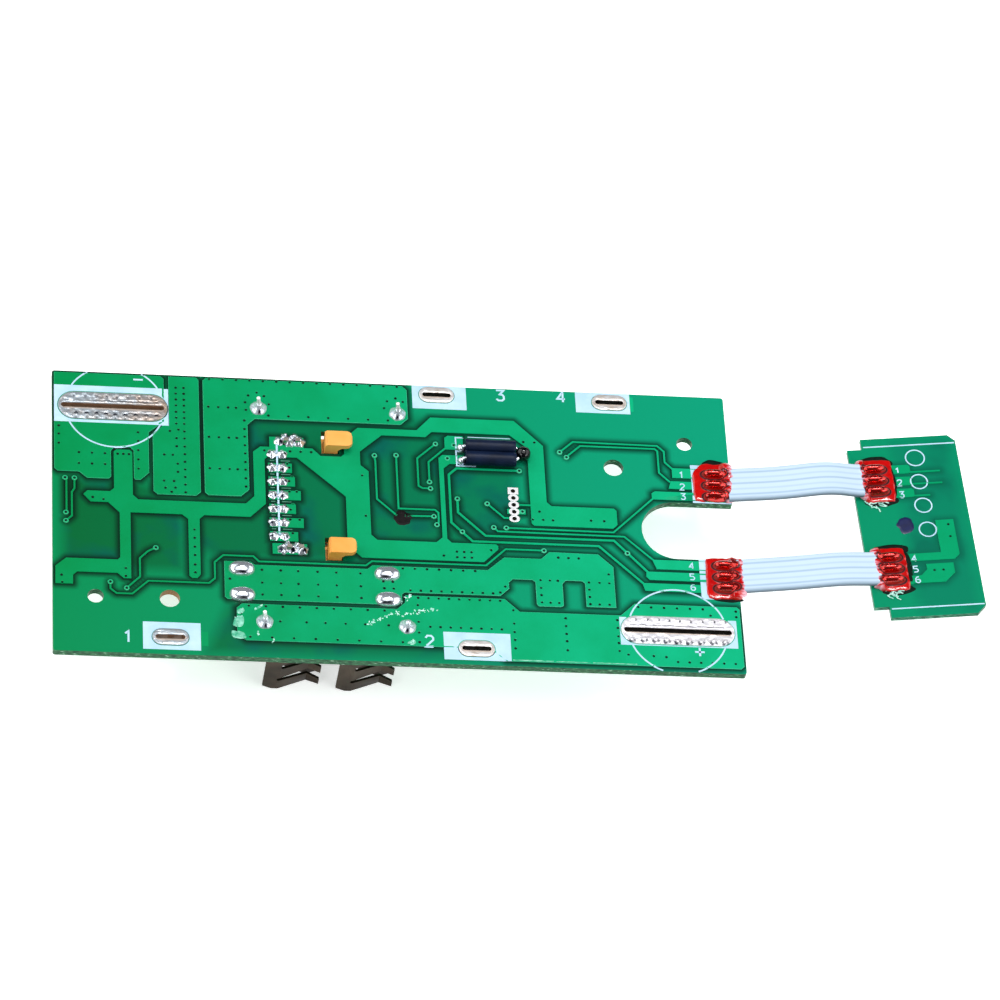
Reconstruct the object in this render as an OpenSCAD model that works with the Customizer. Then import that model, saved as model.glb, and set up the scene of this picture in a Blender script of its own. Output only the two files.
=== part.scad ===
// Battery management board: a main board, a charge-display board and the two flat leads
// that join them. The solder side is up, and the sheet-metal terminals stand below.
// Positions are given in the main board's own frame: x from its left edge, y from its
// front edge, z up from its solder-side face. on_board() moves that frame to the origin,
// which is the centre of the front-left screw hole at the solder-side face.

/* [Main board] */
// Length of the main board
board_l = 103; // [100:0.5:130]
// Width of the main board
board_w = 50.7; // [49:0.1:64]
// Thickness of the main board
board_t = 1.2; // [0.8:0.1:2]
// Corner radius of the main board
board_corner_r = 0.4; // [0.2:0.1:1.5]
// Width of the U-shaped notch in the right end
notch_w = 10.4; // [8:0.1:13]
// Depth of the notch from the right end
notch_l = 14.2; // [10:0.1:18]
// Height of the notch's centre line above the front edge
notch_y = 25.55; // [24:0.05:28]
// Thickness of the copper layers
copper_t = 0.1; // [0.05:0.01:0.2]

/* [Fixing holes] */
// Diameter of the two screw holes
screw_hole_d = 3.0; // [2.4:0.1:3.6]
// Diameter of the two locating-peg holes
peg_hole_d = 2.4; // [1.8:0.1:3]
// Front-left screw hole from the left edge
screw_x = 17.25; // [15:0.05:19]
// Front-left holes from the front edge
screw_y = 9.85; // [9:0.05:11]
// Front-left peg hole to screw hole
peg_pitch = 10.95; // [9:0.05:12]

/* [Strip slots] */
// Width of every slot for a welded nickel strip
slot_w = 1.0; // [0.6:0.1:1.4]
// Length of the battery-minus strip slot
minus_slot_l = 15.7; // [12:0.1:16]
// Length of the battery-plus strip slot
plus_slot_l = 16.4; // [12:0.1:17]
// Length of the four cell-tap slots
tap_slot_l = 4.6; // [3:0.1:5.4]
// Bare land along each side of a main slot
main_land = 2.0; // [1:0.1:2.2]
// Bare land along each side of a cell-tap slot
tap_land = 0.9; // [0.5:0.1:1.2]
// Bare land past each end of a slot
end_land = 0.4; // [0.2:0.1:0.6]
// Wall of the plating inside a slot
plating_t = 0.1; // [0.05:0.05:0.2]

/* [Terminals] */
// Thickness of the terminal sheet
sheet_t = 0.4; // [0.3:0.05:0.8]
// Depth of the terminals below the board
terminal_h = 12.7; // [10:0.1:15]
// Distance between the middles of the two side plates
channel_w = 4.6; // [4.2:0.1:5.4]
// Distance from the first fork to the second
fork_pitch = 11.0; // [9.5:0.1:12]
// Length of the straight root of a fork
root_l = 2.3; // [1.5:0.1:3]
// Length of a tine from its root to its contact point
tine_l = 4.3; // [3:0.1:4.6]
// Length of the flared tip
tip_l = 1.9; // [1:0.1:2.2]
// Inward bend of a tine at its contact point
tine_bend = 1.75; // [1:0.05:1.95]
// Outward flare of a tip
tip_flare = 0.7; // [0.4:0.05:1.2]

/* [Signal connector] */
// Number of contacts
contact_count = 7; // [4:1:7]
// Distance between contacts
contact_pitch = 2.5; // [2.2:0.05:2.6]
// Thickness of the contact sheet
contact_t = 0.4; // [0.3:0.05:0.6]
// Depth of the connector housing below the board
housing_h = 11.6; // [9:0.1:12.5]
// Thickness of the housing walls and floor
housing_wall = 1.2; // [0.8:0.1:1.6]
// Height of the snap hooks above the board
hook_h = 2.0; // [1.4:0.1:2.6]
// Play round a hook in its board slot
hook_play = 0.2; // [0.1:0.05:0.4]

/* [Display board] */
// Width of the display board
display_w = 17; // [15:0.1:22]
// Length of the display board
display_l = 32.9; // [31:0.1:42]
// Thickness of the display board
display_t = 0.8; // [0.6:0.1:1.6]
// Turn of the display board about the vertical
display_turn = 3.5; // [0:0.5:6]
// Tilt of the display board, right edge up
display_tilt = 4.4; // [0:0.1:6]
// Gap between the two boards
board_gap = 19.7; // [14:0.1:26]
// Distance between the four lights
light_pitch = 4.45; // [3.6:0.05:4.6]

/* [Flat leads] */
// Width of a flat lead
lead_w = 6.0; // [5:0.1:7]
// Thickness of a flat lead
lead_t = 0.9; // [0.6:0.1:1.2]
// Distance between the three cores
core_pitch = 2.05; // [1.8:0.05:2.2]
// Diameter of a bare core
core_d = 0.5; // [0.3:0.05:0.7]
// Height of the soft wave in the upper lead
lead_wave = 1.0; // [0:0.1:1.5]

/* [Thermistor] */
// Diameter of the shrink sleeves
sleeve_d = 2.25; // [1.6:0.05:2.3]
// Length of the shrink sleeves
sleeve_l = 7.7; // [5:0.1:9]
// Diameter of the sensing bead
bead_d = 2.3; // [1.6:0.1:2.6]
// Diameter of the bead's wires
wire_d = 0.5; // [0.3:0.05:0.7]

/* [Push switch] */
// Side of the square switch
switch_w = 5.2; // [4:0.1:6]
// Diameter of the plunger
plunger_d = 2.4; // [1.6:0.1:3]
// Gap round the plunger in its cover
plunger_gap = 0.1; // [0.05:0.05:0.2]
// Travel of the plunger
plunger_travel = 0.25; // [0.15:0.05:0.4]

/* [Hidden] */
$fn = 48;

laminate = [0.0, 0.43, 0.29];
mask = [0.05, 0.66, 0.40];
tin = [0.80, 0.80, 0.80];
bronze = [0.42, 0.34, 0.28];
orange = [0.95, 0.60, 0.22];
black = [0.10, 0.10, 0.11];
sealant_red = [0.75, 0.05, 0.05];

eps = 0.01;
pin_gap = 0.2;            // room round a pin in its board hole
edge_gap = 0.3;           // bare laminate along the board's edges
under = -board_t;         // component-side face
pin_w = 1.3;              // width of a terminal pin
pin_tip_w = 0.5;          // width of its tip
pin_rise = 3.3;           // height of a terminal pin above the board
cone_d = 2.5;             // foot of a solder cone
cone_h = 1.8;             // height of a solder cone
pin_span = 21.2;          // distance between a terminal's two pins
tab_w = 2.6;              // width of a charge-terminal tab
tab_rise = 0.8;
mound_d = 2.45;           // width of the solder mounds on the tabs
mound_l = 3.85;

// Where things stand on the main board
terminal_x = 31.2;                    // first pin of the plus and minus terminals
plus_y = 6.25;
minus_y = board_w - 5.6;
charge_x = 28.0;                      // first tabs of the charge terminal
charge_y = 13.25;
contact_x = 33.8;
contact_y = 29.2;                     // middle contact
tail_pitch = 1.5;                     // between a contact's two tails
anchor_x = 36.05;
anchor_pitch = 9.75;                  // anchor to the middle contact
hook_x = 41.0;
hook_pitch = 9.75;                    // hook to the middle contact
hook_w = 2.7;
hook_reach = 4.1;
hook_stem = 2.0;
hook_round = 0.9;
thermistor_x = 61.9;
thermistor_y = 37.8;
test_x = board_l - 33.55;
test_y = 29.1;
test_pitch = 1.27;
test_hole_d = 0.7;
test_land_w = 1.24;
test_land_l = 1.6;
upper_y = notch_y + notch_w / 2 + 3.05;   // middle core of the upper lead
lower_y = notch_y - notch_w / 2 - 3.35;   // middle core of the lower lead
joint_x = board_l - 2.5;                  // middle of the lead joints
joint_l = 3.4;
joint_d = 1.5;
taps = [[17.25, 3.0], [62.6, 2.85], [58.55, board_w - 1.7], [board_l - 17.8, board_w - 1.8]];
minus_slot = [9.15, board_w - 6.4];
plus_slot = [board_l - 9.95, 7.2];
holes = [[screw_x, screw_y, screw_hole_d], [screw_x - peg_pitch, screw_y, peg_hole_d],
         [board_l - 17.85, 36.75, screw_hole_d], [board_l - 6.6, 41.7, peg_hole_d]];

// Where things stand on the display board, from its front-left corner
display_x = board_l + board_gap + display_w / 2;
display_y = 28.2;
display_upper_y = 24.8;
display_lower_y = 8.55;
display_joint_x = 3.5;
light_x = 10.3;
light_y = 15.65;
switch_x = 10.3;
switch_y = 6.2;

// ---- helpers -------------------------------------------------------------------

function rx(d) = board_l - d;
function ry(d) = board_w - d;
function unit(v) = v / norm(v);
function left_of(a, b) = let (d = unit(b - a)) [-d.y, d.x];
function side(p, i) =
    i == 0 ? left_of(p[0], p[1])
    : i == len(p) - 1 ? left_of(p[i - 1], p[i])
    : let (a = left_of(p[i - 1], p[i]), b = left_of(p[i], p[i + 1])) (a + b) / (1 + a * b);
// Outline of a strip of width w that follows the points p, with mitred corners
function strip_outline(p, w) = concat(
    [for (i = [0:len(p) - 1]) p[i] + side(p, i) * w / 2],
    [for (i = [len(p) - 1:-1:0]) p[i] - side(p, i) * w / 2]);
// A point of the display board's frame, given in the main board's frame
function on_display(x, y, z) =
    let (u = (x - display_w / 2) * cos(display_tilt) - z * sin(display_tilt),
         v = y - display_l / 2)
    [display_x + u * cos(display_turn) - v * sin(display_turn),
     display_y + u * sin(display_turn) + v * cos(display_turn),
     (x - display_w / 2) * sin(display_tilt) + z * cos(display_tilt)];

module on_board() translate([-screw_x, -screw_y, 0]) children();

module on_display_board()
    on_board() translate([display_x, display_y, 0]) rotate([0, 0, display_turn])
        rotate([0, -display_tilt, 0]) translate([-display_w / 2, -display_l / 2, 0]) children();

module obround(l, w) {
    square([l - w, w], center = true);
    for (s = [-1, 1]) translate([s * (l - w) / 2, 0]) circle(d = w);
}

module rounded_square(l, w, r) {
    translate([r, 0]) square([l - 2 * r, w]);
    translate([0, r]) square([l, w - 2 * r]);
    for (x = [r, l - r], y = [r, w - r]) translate([x, y]) circle(r);
}

module cut_through(t) translate([0, 0, -t - 1]) linear_extrude(t + 2) children();

// Half of a capsule lying on a face: a mound of solder
module mound(l, d) {
    intersection() {
        union() {
            rotate([0, 90, 0]) cylinder(d = d, h = l - d, center = true);
            for (s = [-1, 1]) translate([s * (l - d) / 2, 0, 0]) sphere(d = d);
        }
        translate([0, 0, d / 2]) cube([l + 1, d + 1, d], center = true);
    }
}

// ---- main board ----------------------------------------------------------------

module board_outline() {
    difference() {
        rounded_square(board_l, board_w, board_corner_r);
        translate([board_l - notch_l + notch_w / 2, notch_y]) {
            circle(d = notch_w, $fn = 96);
            translate([0, -notch_w / 2]) square([notch_l, notch_w]);
        }
    }
}

// Slots of all six strips, grown by g along and by w across
module strip_slots(g, main_w, tap_w) {
    translate(minus_slot) obround(minus_slot_l + 2 * g, slot_w + 2 * main_w);
    translate(plus_slot) obround(plus_slot_l + 2 * g, slot_w + 2 * main_w);
    for (p = taps) translate(p) obround(tap_slot_l + 2 * g, slot_w + 2 * tap_w);
}

module terminal_pin_holes() {
    for (y = [plus_y, minus_y], x = [0, pin_span])
        translate([terminal_x + x, y]) circle(d = pin_w + 2 * pin_gap);
    for (y = [-1, 1] * channel_w / 2, x = [0, pin_span + 0.5])
        translate([charge_x + x, charge_y + y]) obround(tab_w + 2 * pin_gap, sheet_t + 2 * pin_gap);
}

module contact_holes() {
    for (i = [0:contact_count - 1], s = [-1, 1])
        translate([contact_x + s * tail_pitch / 2, contact_row_y(i)]) circle(d = 0.9);
    for (a = [-1, 1], s = [-1, 1])
        translate([anchor_x + s * 0.9, contact_y + a * anchor_pitch]) circle(d = 1.2);
}

function contact_row_y(i) = contact_y + (i - (contact_count - 1) / 2) * contact_pitch;

function hook_y(a) = contact_y - 0.2 + a * hook_pitch;

module hook_slots()
    for (a = [-1, 1])
        translate([hook_x - hook_play - 0.2, hook_y(a) - hook_w / 2 - hook_play])
            square([hook_stem + 2 * hook_play + 0.2, hook_w + 1 + 2 * hook_play]);

module test_holes(d)
    for (i = [-2:2]) translate([test_x, test_y + i * test_pitch]) circle(d = d);

module thermistor_holes()
    for (s = [-1, 1]) translate([thermistor_x, thermistor_y + s * sleeve_d / 2]) circle(d = 0.9);

module main_board() on_board() color(laminate)
    translate([0, 0, under]) linear_extrude(board_t) difference() {
        board_outline();
        for (h = holes) translate([h[0], h[1]]) circle(d = h[2]);
        strip_slots(plating_t, plating_t, plating_t);
        terminal_pin_holes();
        contact_holes();
        hook_slots();
        test_holes(test_hole_d);
        thermistor_holes();
    }

// ---- copper --------------------------------------------------------------------

module copper() on_board() color(mask) linear_extrude(copper_t) difference() {
    children();
    terminal_pin_holes();
    contact_holes();
    thermistor_holes();
    test_land_outlines();
    strip_slots(end_land, main_land, tap_land);
}

module tracks(list, w) for (p = list) polygon(strip_outline(p, w));

module battery_minus_copper() copper() polygon([
    [edge_gap, ry(0.3)], [16.4, ry(0.3)], [16.9, ry(0.8)], [16.9, ry(8.7)], [14.5, ry(10.9)],
    [14.5, 32.4], [13.2, 31.0], [12.4, 31.0], [12.2, 31.3], [12.2, 36.3], [11.7, 36.9],
    [9.4, 36.9], [8.8, 36.2], [8.8, 31.4], [8.4, 31.0], [5.2, 31.0], [4.0, 32.1],
    [0.8, 32.1], [edge_gap, 32.6]]);

module shunt_copper() copper() polygon([
    [17.6, ry(0.3)], [21.8, ry(0.3)], [22.2, ry(0.7)], [22.2, 29.2], [21.5, 28.5], [15.7, 28.5],
    [15.1, 29.1], [15.1, ry(11.1)], [16.7, ry(9.5)], [17.6, ry(9.5)]]);

module minus_copper() copper() polygon([
    [23.3, ry(0.3)], [53.3, ry(0.3)], [54.0, ry(1.0)], [54.0, ry(6.4)], [52.8, ry(7.6)],
    [30.6, ry(7.6)], [29.5, ry(8.7)], [29.5, 30.0], [28.2, 28.7], [23.3, 28.7], [22.8, 29.2],
    [22.8, ry(0.8)]]);

module ground_copper() copper() {
    // the rail from the left end to the connector
    polygon([
        [9.2, 36.0], [9.6, 36.4], [11.6, 36.4], [12.0, 36.0], [12.0, 28.2], [12.8, 27.4],
        [28.9, 27.4], [30.2, 28.8], [30.2, 37.0], [31.3, 38.0], [39.2, 38.0], [40.4, 36.7],
        [43.5, 36.7], [44.0, 37.2], [44.0, 40.0], [46.2, 42.2], [55.2, 42.2], [57.4, 44.7],
        [rx(32.8), 44.7], [rx(28.5), 40.2], [rx(28.5), 29.8], [rx(27.8), 29.1], [rx(18.3), 29.1],
        [rx(17.9), 28.7], [rx(17.9), 26.1], [rx(18.6), 25.4], [rx(30.6), 25.4], [rx(31), 25.8],
        [rx(31), 39.7], [rx(33.6), 42.0], [57.5, 42.0], [56.5, 41.0], [49.8, 41.0], [46.4, 37.8],
        [46.4, 35.3], [47.6, 34.2], [47.6, 22.6], [48.5, 21.7], [57.4, 21.7], [58.35, 22.6],
        [58.35, 37.2], [58.95, 37.8], [thermistor_x + 0.3, 37.8], [thermistor_x + 0.3, 36.2],
        [60.0, 36.2], [59.05, 35.3],
        [59.05, 22.4], [59.7, 21.7], [66.4, 21.7], [66.7, 21.4], [66.7, 20.8], [64.4, 18.4],
        [46.1, 18.4], [44.0, 20.4], [44.0, 29.4], [36.8, 36.2], [32.4, 36.2], [31.9, 35.7],
        [31.9, 27.5], [29.5, 25.0], [22.6, 25.0], [21.9, 24.3], [21.9, 14.3], [21.4, 13.6],
        [20.6, 13.6], [20.2, 14.0], [20.2, 24.2], [19.3, 25.0], [11.6, 25.0], [11.6, 13.1],
        [10.5, 13.1], [9.6, 14.0], [3.6, 14.0], [3.0, 13.4], [3.0, 11.8], [0.4, 11.8],
        [0.4, 14.9], [2.0, 16.4], [9.6, 16.4], [10.0, 16.8], [10.0, 24.9], [8.3, 26.7],
        [5.7, 26.7], [4.6, 28.0], [5.2, 28.7], [8.6, 28.7], [9.2, 29.3]]);
    // the track to the third test land
    tracks([[[test_x + 0.4, test_y], [rx(30.9), test_y]]], 0.3);
}

module charge_copper() copper() polygon([
    [25.8, 10.1], [25.4, 10.5], [25.4, 16.9], [29.4, 16.9], [30.0, 16.4], [46.8, 16.4],
    [47.6, 17.1], [64.9, 17.0], [rx(35.5), 19.4], [rx(29.9), 19.4], [rx(28.6), 20.7],
    [rx(21.2), 20.6], [rx(19.0), 18.4], [rx(19.0), 11.0], [rx(23.5), 11.0], [rx(23.5), 15.2],
    [rx(23.9), 15.6], [rx(26.4), 15.6], [rx(26.9), 15.0], [rx(26.9), 11.1], [rx(27.3), 10.8],
    [rx(30.7), 10.8], [rx(31.0), 11.2], [rx(31.0), 15.1], [rx(31.4), 15.5], [rx(34.4), 15.5],
    [rx(35.0), 14.9], [rx(35.0), 13.8], [rx(36.4), 12.4], [52.2, 12.4], [51.8, 12.0],
    [51.8, 11.1], [50.8, 10.1]]);

module plus_copper() copper() polygon([
    [27.9, 9.4], [51.0, 9.4], [52.2, 10.6], [52.3, 11.9], [rx(35.8), 11.9], [rx(33.6), 9.7],
    [rx(18.4), 9.7], [rx(16.2), 11.9], [rx(0.7), 11.9], [rx(edge_gap), 11.5],
    [rx(edge_gap), 1.3], [rx(0.8), 0.8], [67.0, 0.8], [64.6, 2.9], [28.4, 2.9], [27.1, 4.2],
    [27.1, 8.6]]);

module joint_row(y) for (k = [-1, 0, 1]) translate([joint_x - 2.1, y + k * core_pitch - 0.75])
    square([4.2, 1.5]);

module signal_copper() copper() {
    joint_row(upper_y);
    joint_row(lower_y);
    // wide ends of the tracks beside the leads
    polygon([[rx(8.9), upper_y + 1.45], [rx(8.9), upper_y + 3.25], [rx(4), upper_y + 3.25],
             [rx(4), upper_y + 1.45]]);
    polygon([[rx(9.6), upper_y - 0.6], [rx(9.2), upper_y + 0.8], [rx(4), upper_y + 0.8],
             [rx(4), upper_y - 0.6]]);
    polygon([[rx(12.3), upper_y - 2.7], [rx(12.3), upper_y - 1.6], [rx(11.8), upper_y - 1.2],
             [rx(4), upper_y - 1.2], [rx(4), upper_y - 2.7]]);
    polygon([[rx(13.0), lower_y + 3.0], [rx(4), lower_y + 3.0], [rx(4), lower_y + 1.3],
             [rx(12.4), lower_y + 1.3]]);
    polygon([[rx(14.0), lower_y + 0.8], [rx(4), lower_y + 0.8], [rx(4), lower_y - 0.7],
             [rx(13.6), lower_y - 0.7], [rx(14.1), lower_y - 0.1]]);
    polygon([[rx(14.8), lower_y - 1.3], [rx(4), lower_y - 1.3], [rx(4), lower_y - 2.7],
             [rx(14.4), lower_y - 2.7]]);
    tracks([
        [[2.1, 30.8], [2.1, 24.7]],
        [[3.3, 30.9], [3.3, 29.0], [2.9, 28.3], [2.9, 24.0], [2.0, 23.1]],
        [[15.3, 18.8], [14.1, 18.1], [12.9, 16.8], [12.9, 13.5], [10.9, 11.4]],
        [[8.5, 12.4], [8.5, 11.2], [9.4, 10.4], [11.7, 10.4], [14.1, 12.8], [23.1, 12.8],
         [24.0, 13.7], [24.0, 16.6], [25.3, 17.9], [29.8, 17.9], [30.6, 17.0], [46.6, 17.0],
         [47.5, 17.8], [64.7, 17.8], [rx(35.2), 20.9], [rx(29.4), 20.9]],
        [[48.5, 37.2], [48.7, 36.2], [48.7, 29.2], [51.6, 26.3]],
        [[51.9, 37.4], [51.9, 27.6], [57.4, 27.6], [57.9, 27.1], [57.9, 25.4], [57.6, 24.9]],
        [[57.2, 26.4], [52.8, 26.3]],
        [[58.0, 39.8], [55.1, 37.0], [55.1, 31.9], [55.7, 31.5], [56.9, 31.5]],
        [[56.8, 32.7], [56.8, 36.4], [59.4, 39.0], [60.6, 39.0]],
        [[66.2, 24.8], [66.8, 24.1], [rx(17.0), 24.0], [rx(12.8), lower_y + 2.9]],
        [[68.1, 24.8], [rx(18.6), 24.7], [rx(12.2), upper_y - 2.6]],
        [[65.4, 29.1], [67.9, 26.6], [test_x - 0.4, 26.6]],
        [[rx(26.0), 39.2], [rx(23.9), 41.2], [rx(10.9), 41.1], [rx(9.9), 40.1],
         [rx(9.9), 38.1], [rx(8.8), upper_y + 3.1]],
        [[rx(25.0), 38.4], [rx(22.8), 40.5], [rx(11.3), 40.5], [rx(10.9), 40.1],
         [rx(10.9), 36.1], [rx(9.3), upper_y + 0.6]]], 0.28);
    tracks([
        [[60.9, 29.8], [60.9, 27.3], [64.9, 23.2], [rx(18.6), 23.2], [rx(13.8), lower_y + 0.7]],
        [[70.6, 35.4], [61.0, 35.4], [59.8, 34.2], [59.8, 25.4], [62.9, 22.1], [rx(21.0), 22.1],
         [rx(14.6), lower_y - 1.4]]], 0.36);
    // thermistor land
    polygon([[59.4, 38.85], [59.4, 41.0], [59.9, 41.4], [thermistor_x + 0.3, 41.4],
             [thermistor_x + 0.3, 38.85]]);
    // land of the fourth test hole
    translate([test_x - 1.05, test_y - test_pitch - 0.45]) square([2.8, 0.9]);
    // lands of the contacts and anchors
    for (i = [0:contact_count - 2]) contact_land(contact_row_y(i), [2.8, 3.7, 2.6, 3.4, 2.6, 2.2][i]);
    for (a = [-1, 1]) translate([32.7, contact_y + a * anchor_pitch - 0.95]) square([5.2, 1.9]);
}

module contact_land(y, l) translate([contact_x - 1.4, y - 0.85]) square([1.4 + l, 1.7]);

// ---- lands and plated slots ----------------------------------------------------

// A flat land round the slot, on both faces, joined by the plating of the slot's wall
module strip_land(slot_l, land) difference() {
    union() {
        for (z = [0, under - copper_t]) translate([0, 0, z]) linear_extrude(copper_t)
            obround(slot_l + 2 * end_land, slot_w + 2 * land);
        translate([0, 0, under]) linear_extrude(board_t)
            obround(slot_l + 2 * plating_t, slot_w + 2 * plating_t);
    }
    cut_through(board_t) obround(slot_l, slot_w);
}

module minus_strip_land() on_board() color(tin)
    translate(minus_slot) strip_land(minus_slot_l, main_land);
module plus_strip_land() on_board() color(tin)
    translate(plus_slot) strip_land(plus_slot_l, main_land);
module tap_strip_lands() on_board() color(tin)
    for (p = taps) translate(p) strip_land(tap_slot_l, tap_land);

// Oval lands, the rearmost one with square corners
module test_land_outlines() {
    for (i = [-2:1]) translate([test_x, test_y + i * test_pitch]) obround(test_land_l, test_land_w);
    translate([test_x, test_y + 2 * test_pitch]) square([test_land_l, test_land_w], center = true);
}

module test_lands() on_board() color(tin) linear_extrude(copper_t) difference() {
    test_land_outlines();
    test_holes(test_hole_d);
}

// ---- terminals -----------------------------------------------------------------

// One side plate with its three tines, x along the blade, y up from the tines' lower edge.
// The lower edge is straight, so the part stands level on its terminals.
module plate_profile(x1, x2, x3, h) difference() {
    polygon([[0, 0.7], [1.4, 0], [x3, 0], [x3, 8.2], [x2, 8.4], [x1, 8.6], [x1, h], [0, h]]);
    tine_slot(x1, 2.4, 0.62, [[x2, 1.8], [x3 + 1, 1.0], [x3 + 1, 2.9], [x2, 3.1]]);
    tine_slot(x1 + 0.6, 5.6, 1.05, [[x2, 4.9], [x3 + 1, 4.3], [x3 + 1, 6.6], [x2, 6.6]]);
}

// A slot between two tines, round at its closed end
module tine_slot(x, y, w, open_end) {
    translate([x, y]) circle(d = w, $fn = 24);
    polygon(concat([[x, y + w / 2], [x, y - w / 2]], open_end));
}

// One side plate: its outline, cut from a sheet that is bent inwards and flares at its tips
module side_plate() {
    x2 = root_l + tine_l;
    x3 = x2 + tip_l;
    intersection() {
        translate([0, 1, -terminal_h]) rotate([90, 0, 0]) linear_extrude(tine_bend + 3)
            plate_profile(root_l, x2, x3, terminal_h);
        translate([0, 0, -terminal_h - 1]) linear_extrude(terminal_h + 2) mirror([0, 1])
            polygon(strip_outline([[-1, 0], [root_l, 0], [x2, tine_bend],
                                   [x3 + 0.1, tine_bend - tip_flare]], sheet_t));
    }
}

// A pair of side plates, rear plate first, whose tines close towards each other
module fork() for (s = [0, 1]) mirror([0, s, 0]) translate([0, channel_w / 2, 0]) side_plate();

// The strip under the board that carries the forks
module terminal_web(l) translate([0, -(channel_w + sheet_t) / 2, -sheet_t])
    cube([l, channel_w + sheet_t, sheet_t]);

module pin(rise) translate([-sheet_t / 2, 0, -sheet_t]) rotate([90, 0, 90]) linear_extrude(sheet_t)
    polygon([[-pin_w / 2, 0], [pin_w / 2, 0], [pin_w / 2, board_t + 0.8],
             [pin_tip_w / 2, board_t + sheet_t + 1.2], [pin_tip_w / 2, board_t + sheet_t + rise],
             [-pin_tip_w / 2, board_t + sheet_t + rise],
             [-pin_tip_w / 2, board_t + sheet_t + 1.2], [-pin_w / 2, board_t + 0.8]]);

module power_terminal(y) on_board() color(bronze) translate([terminal_x, y, under]) {
    translate([-0.5, 0, 0]) terminal_web(pin_span + 1);
    for (i = [0, 1]) translate([0.9 + i * fork_pitch, 0, 0]) fork();
    for (x = [0, pin_span]) translate([x, 0, 0]) pin(pin_rise);
}

module plus_terminal() power_terminal(plus_y);
module minus_terminal() power_terminal(minus_y);

module charge_tab() translate([-tab_w / 2, -sheet_t / 2, -sheet_t])
    cube([tab_w, sheet_t, sheet_t + board_t + tab_rise]);

module charge_terminal() on_board() color(bronze) translate([charge_x, charge_y, under]) {
    translate([-tab_w / 2, 0, 0]) terminal_web(pin_span + 0.5 + tab_w);
    for (i = [0, 1]) translate([1.4 + i * fork_pitch, 0, 0]) fork();
    for (x = [0, pin_span + 0.5], s = [-1, 1]) translate([x, s * channel_w / 2, 0]) charge_tab();
}

// ---- solder --------------------------------------------------------------------

module solder_cone() rotate_extrude()
    polygon([[0, 0], [cone_d / 2, 0], [cone_d / 2 * 0.97, cone_h * 0.25],
             [cone_d / 2 * 0.86, cone_h * 0.5], [cone_d / 2 * 0.68, cone_h * 0.72],
             [cone_d / 2 * 0.45, cone_h * 0.9], [cone_d / 2 * 0.28, cone_h], [0, cone_h]]);

module power_solder(y) on_board() color(tin) for (x = [0, pin_span])
    difference() {
        translate([terminal_x + x, y, copper_t]) solder_cone();
        translate([terminal_x + x, y, under]) pin(pin_rise);
    }

module plus_solder() power_solder(plus_y);
module minus_solder() power_solder(minus_y);

module charge_solder() on_board() color(tin)
    for (x = [0, pin_span + 0.5], s = [-1, 1])
        translate([charge_x + x, charge_y + s * channel_w / 2, 0]) difference() {
            translate([0, 0, copper_t]) mound(mound_l, mound_d);
            translate([0, 0, under]) charge_tab();
        }

module drop(d, h) rotate_extrude()
    polygon([[0, 0], [d / 2, 0], [d / 2 * 0.95, h * 0.35], [d / 2 * 0.72, h * 0.72],
             [d / 2 * 0.35, h], [0, h]]);

module contact_solder() on_board() color(tin) {
    for (i = [0:contact_count - 1], s = [-1, 1])
        translate([contact_x + s * tail_pitch / 2, contact_row_y(i), 0]) difference() {
            translate([0, 0, copper_t]) drop(tail_pitch - 0.05, 0.8);
            translate([0, 0, under]) contact_tail();
        }
    for (a = [-1, 1], s = [-1, 1])
        translate([anchor_x + s * 0.9, contact_y + a * anchor_pitch, 0]) difference() {
            translate([0, 0, copper_t]) drop(1.75, 1.2);
            translate([0, 0, under]) anchor_tail();
        }
}

// ---- signal connector ----------------------------------------------------------

contact_tail_rise = 0.6;
anchor_tail_rise = 1.0;
housing_x = 31.4;
housing_l = 12.6;
housing_w = 2 * anchor_pitch + 3.6;
chamber_w = 1.5;

module contact_tail() translate([-0.25, -contact_t / 2, -1])
    cube([0.5, contact_t, 1 + board_t + contact_tail_rise]);
module anchor_tail() translate([-0.35, -0.3, -1]) cube([0.7, 0.6, 1 + board_t + anchor_tail_rise]);

// A stamped contact: two tails, a body in the housing and a fork that takes a blade
module signal_contact(i) on_board() color(tin) translate([contact_x, contact_row_y(i), under]) {
    for (s = [-1, 1]) translate([s * tail_pitch / 2, 0, 0]) contact_tail();
    translate([0, contact_t / 2, 0]) rotate([90, 0, 0]) linear_extrude(contact_t) polygon([
        [-1.0, -0.4], [8.2, -0.4], [8.2, -1.3], [3.6, -1.5], [3.6, -5.4], [7.6, -4.8], [9.0, -3.9],
        [9.0, -5.2], [7.6, -6.2], [9.0, -7.2], [9.0, -8.5], [7.6, -7.6], [3.6, -7.0],
        [3.6, -8.6], [-1.0, -8.6]]);
}

module anchor(a) on_board() color(tin) translate([anchor_x, contact_y + a * anchor_pitch, under]) {
    for (s = [-1, 1]) translate([s * 0.9, 0, 0]) anchor_tail();
    translate([-1.25, -0.3, -3]) cube([2.5, 0.6, 2.4]);
}
module front_anchor() anchor(-1);
module rear_anchor() anchor(1);

// Snap hook: a stem through the board with a nose over its edge, round in plan
module hook() intersection() {
    rotate([90, 0, 0]) linear_extrude(hook_w) polygon([
        [0, -eps], [hook_stem, -eps], [hook_stem, board_t + 0.6], [hook_stem + 0.5, board_t + 1.1],
        [hook_reach, board_t + 1.3], [hook_reach, board_t + hook_h - 0.2],
        [hook_reach - 0.2, board_t + hook_h], [0.3, board_t + hook_h],
        [0, board_t + hook_h - 0.3]]);
    translate([0, -hook_w, -1]) linear_extrude(board_t + hook_h + 2) {
        square([hook_reach - hook_round, hook_w]);
        translate([0, hook_round]) square([hook_reach, hook_w - 2 * hook_round]);
        for (y = [hook_round, hook_w - hook_round])
            translate([hook_reach - hook_round, y]) circle(hook_round, $fn = 32);
    }
}

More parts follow.
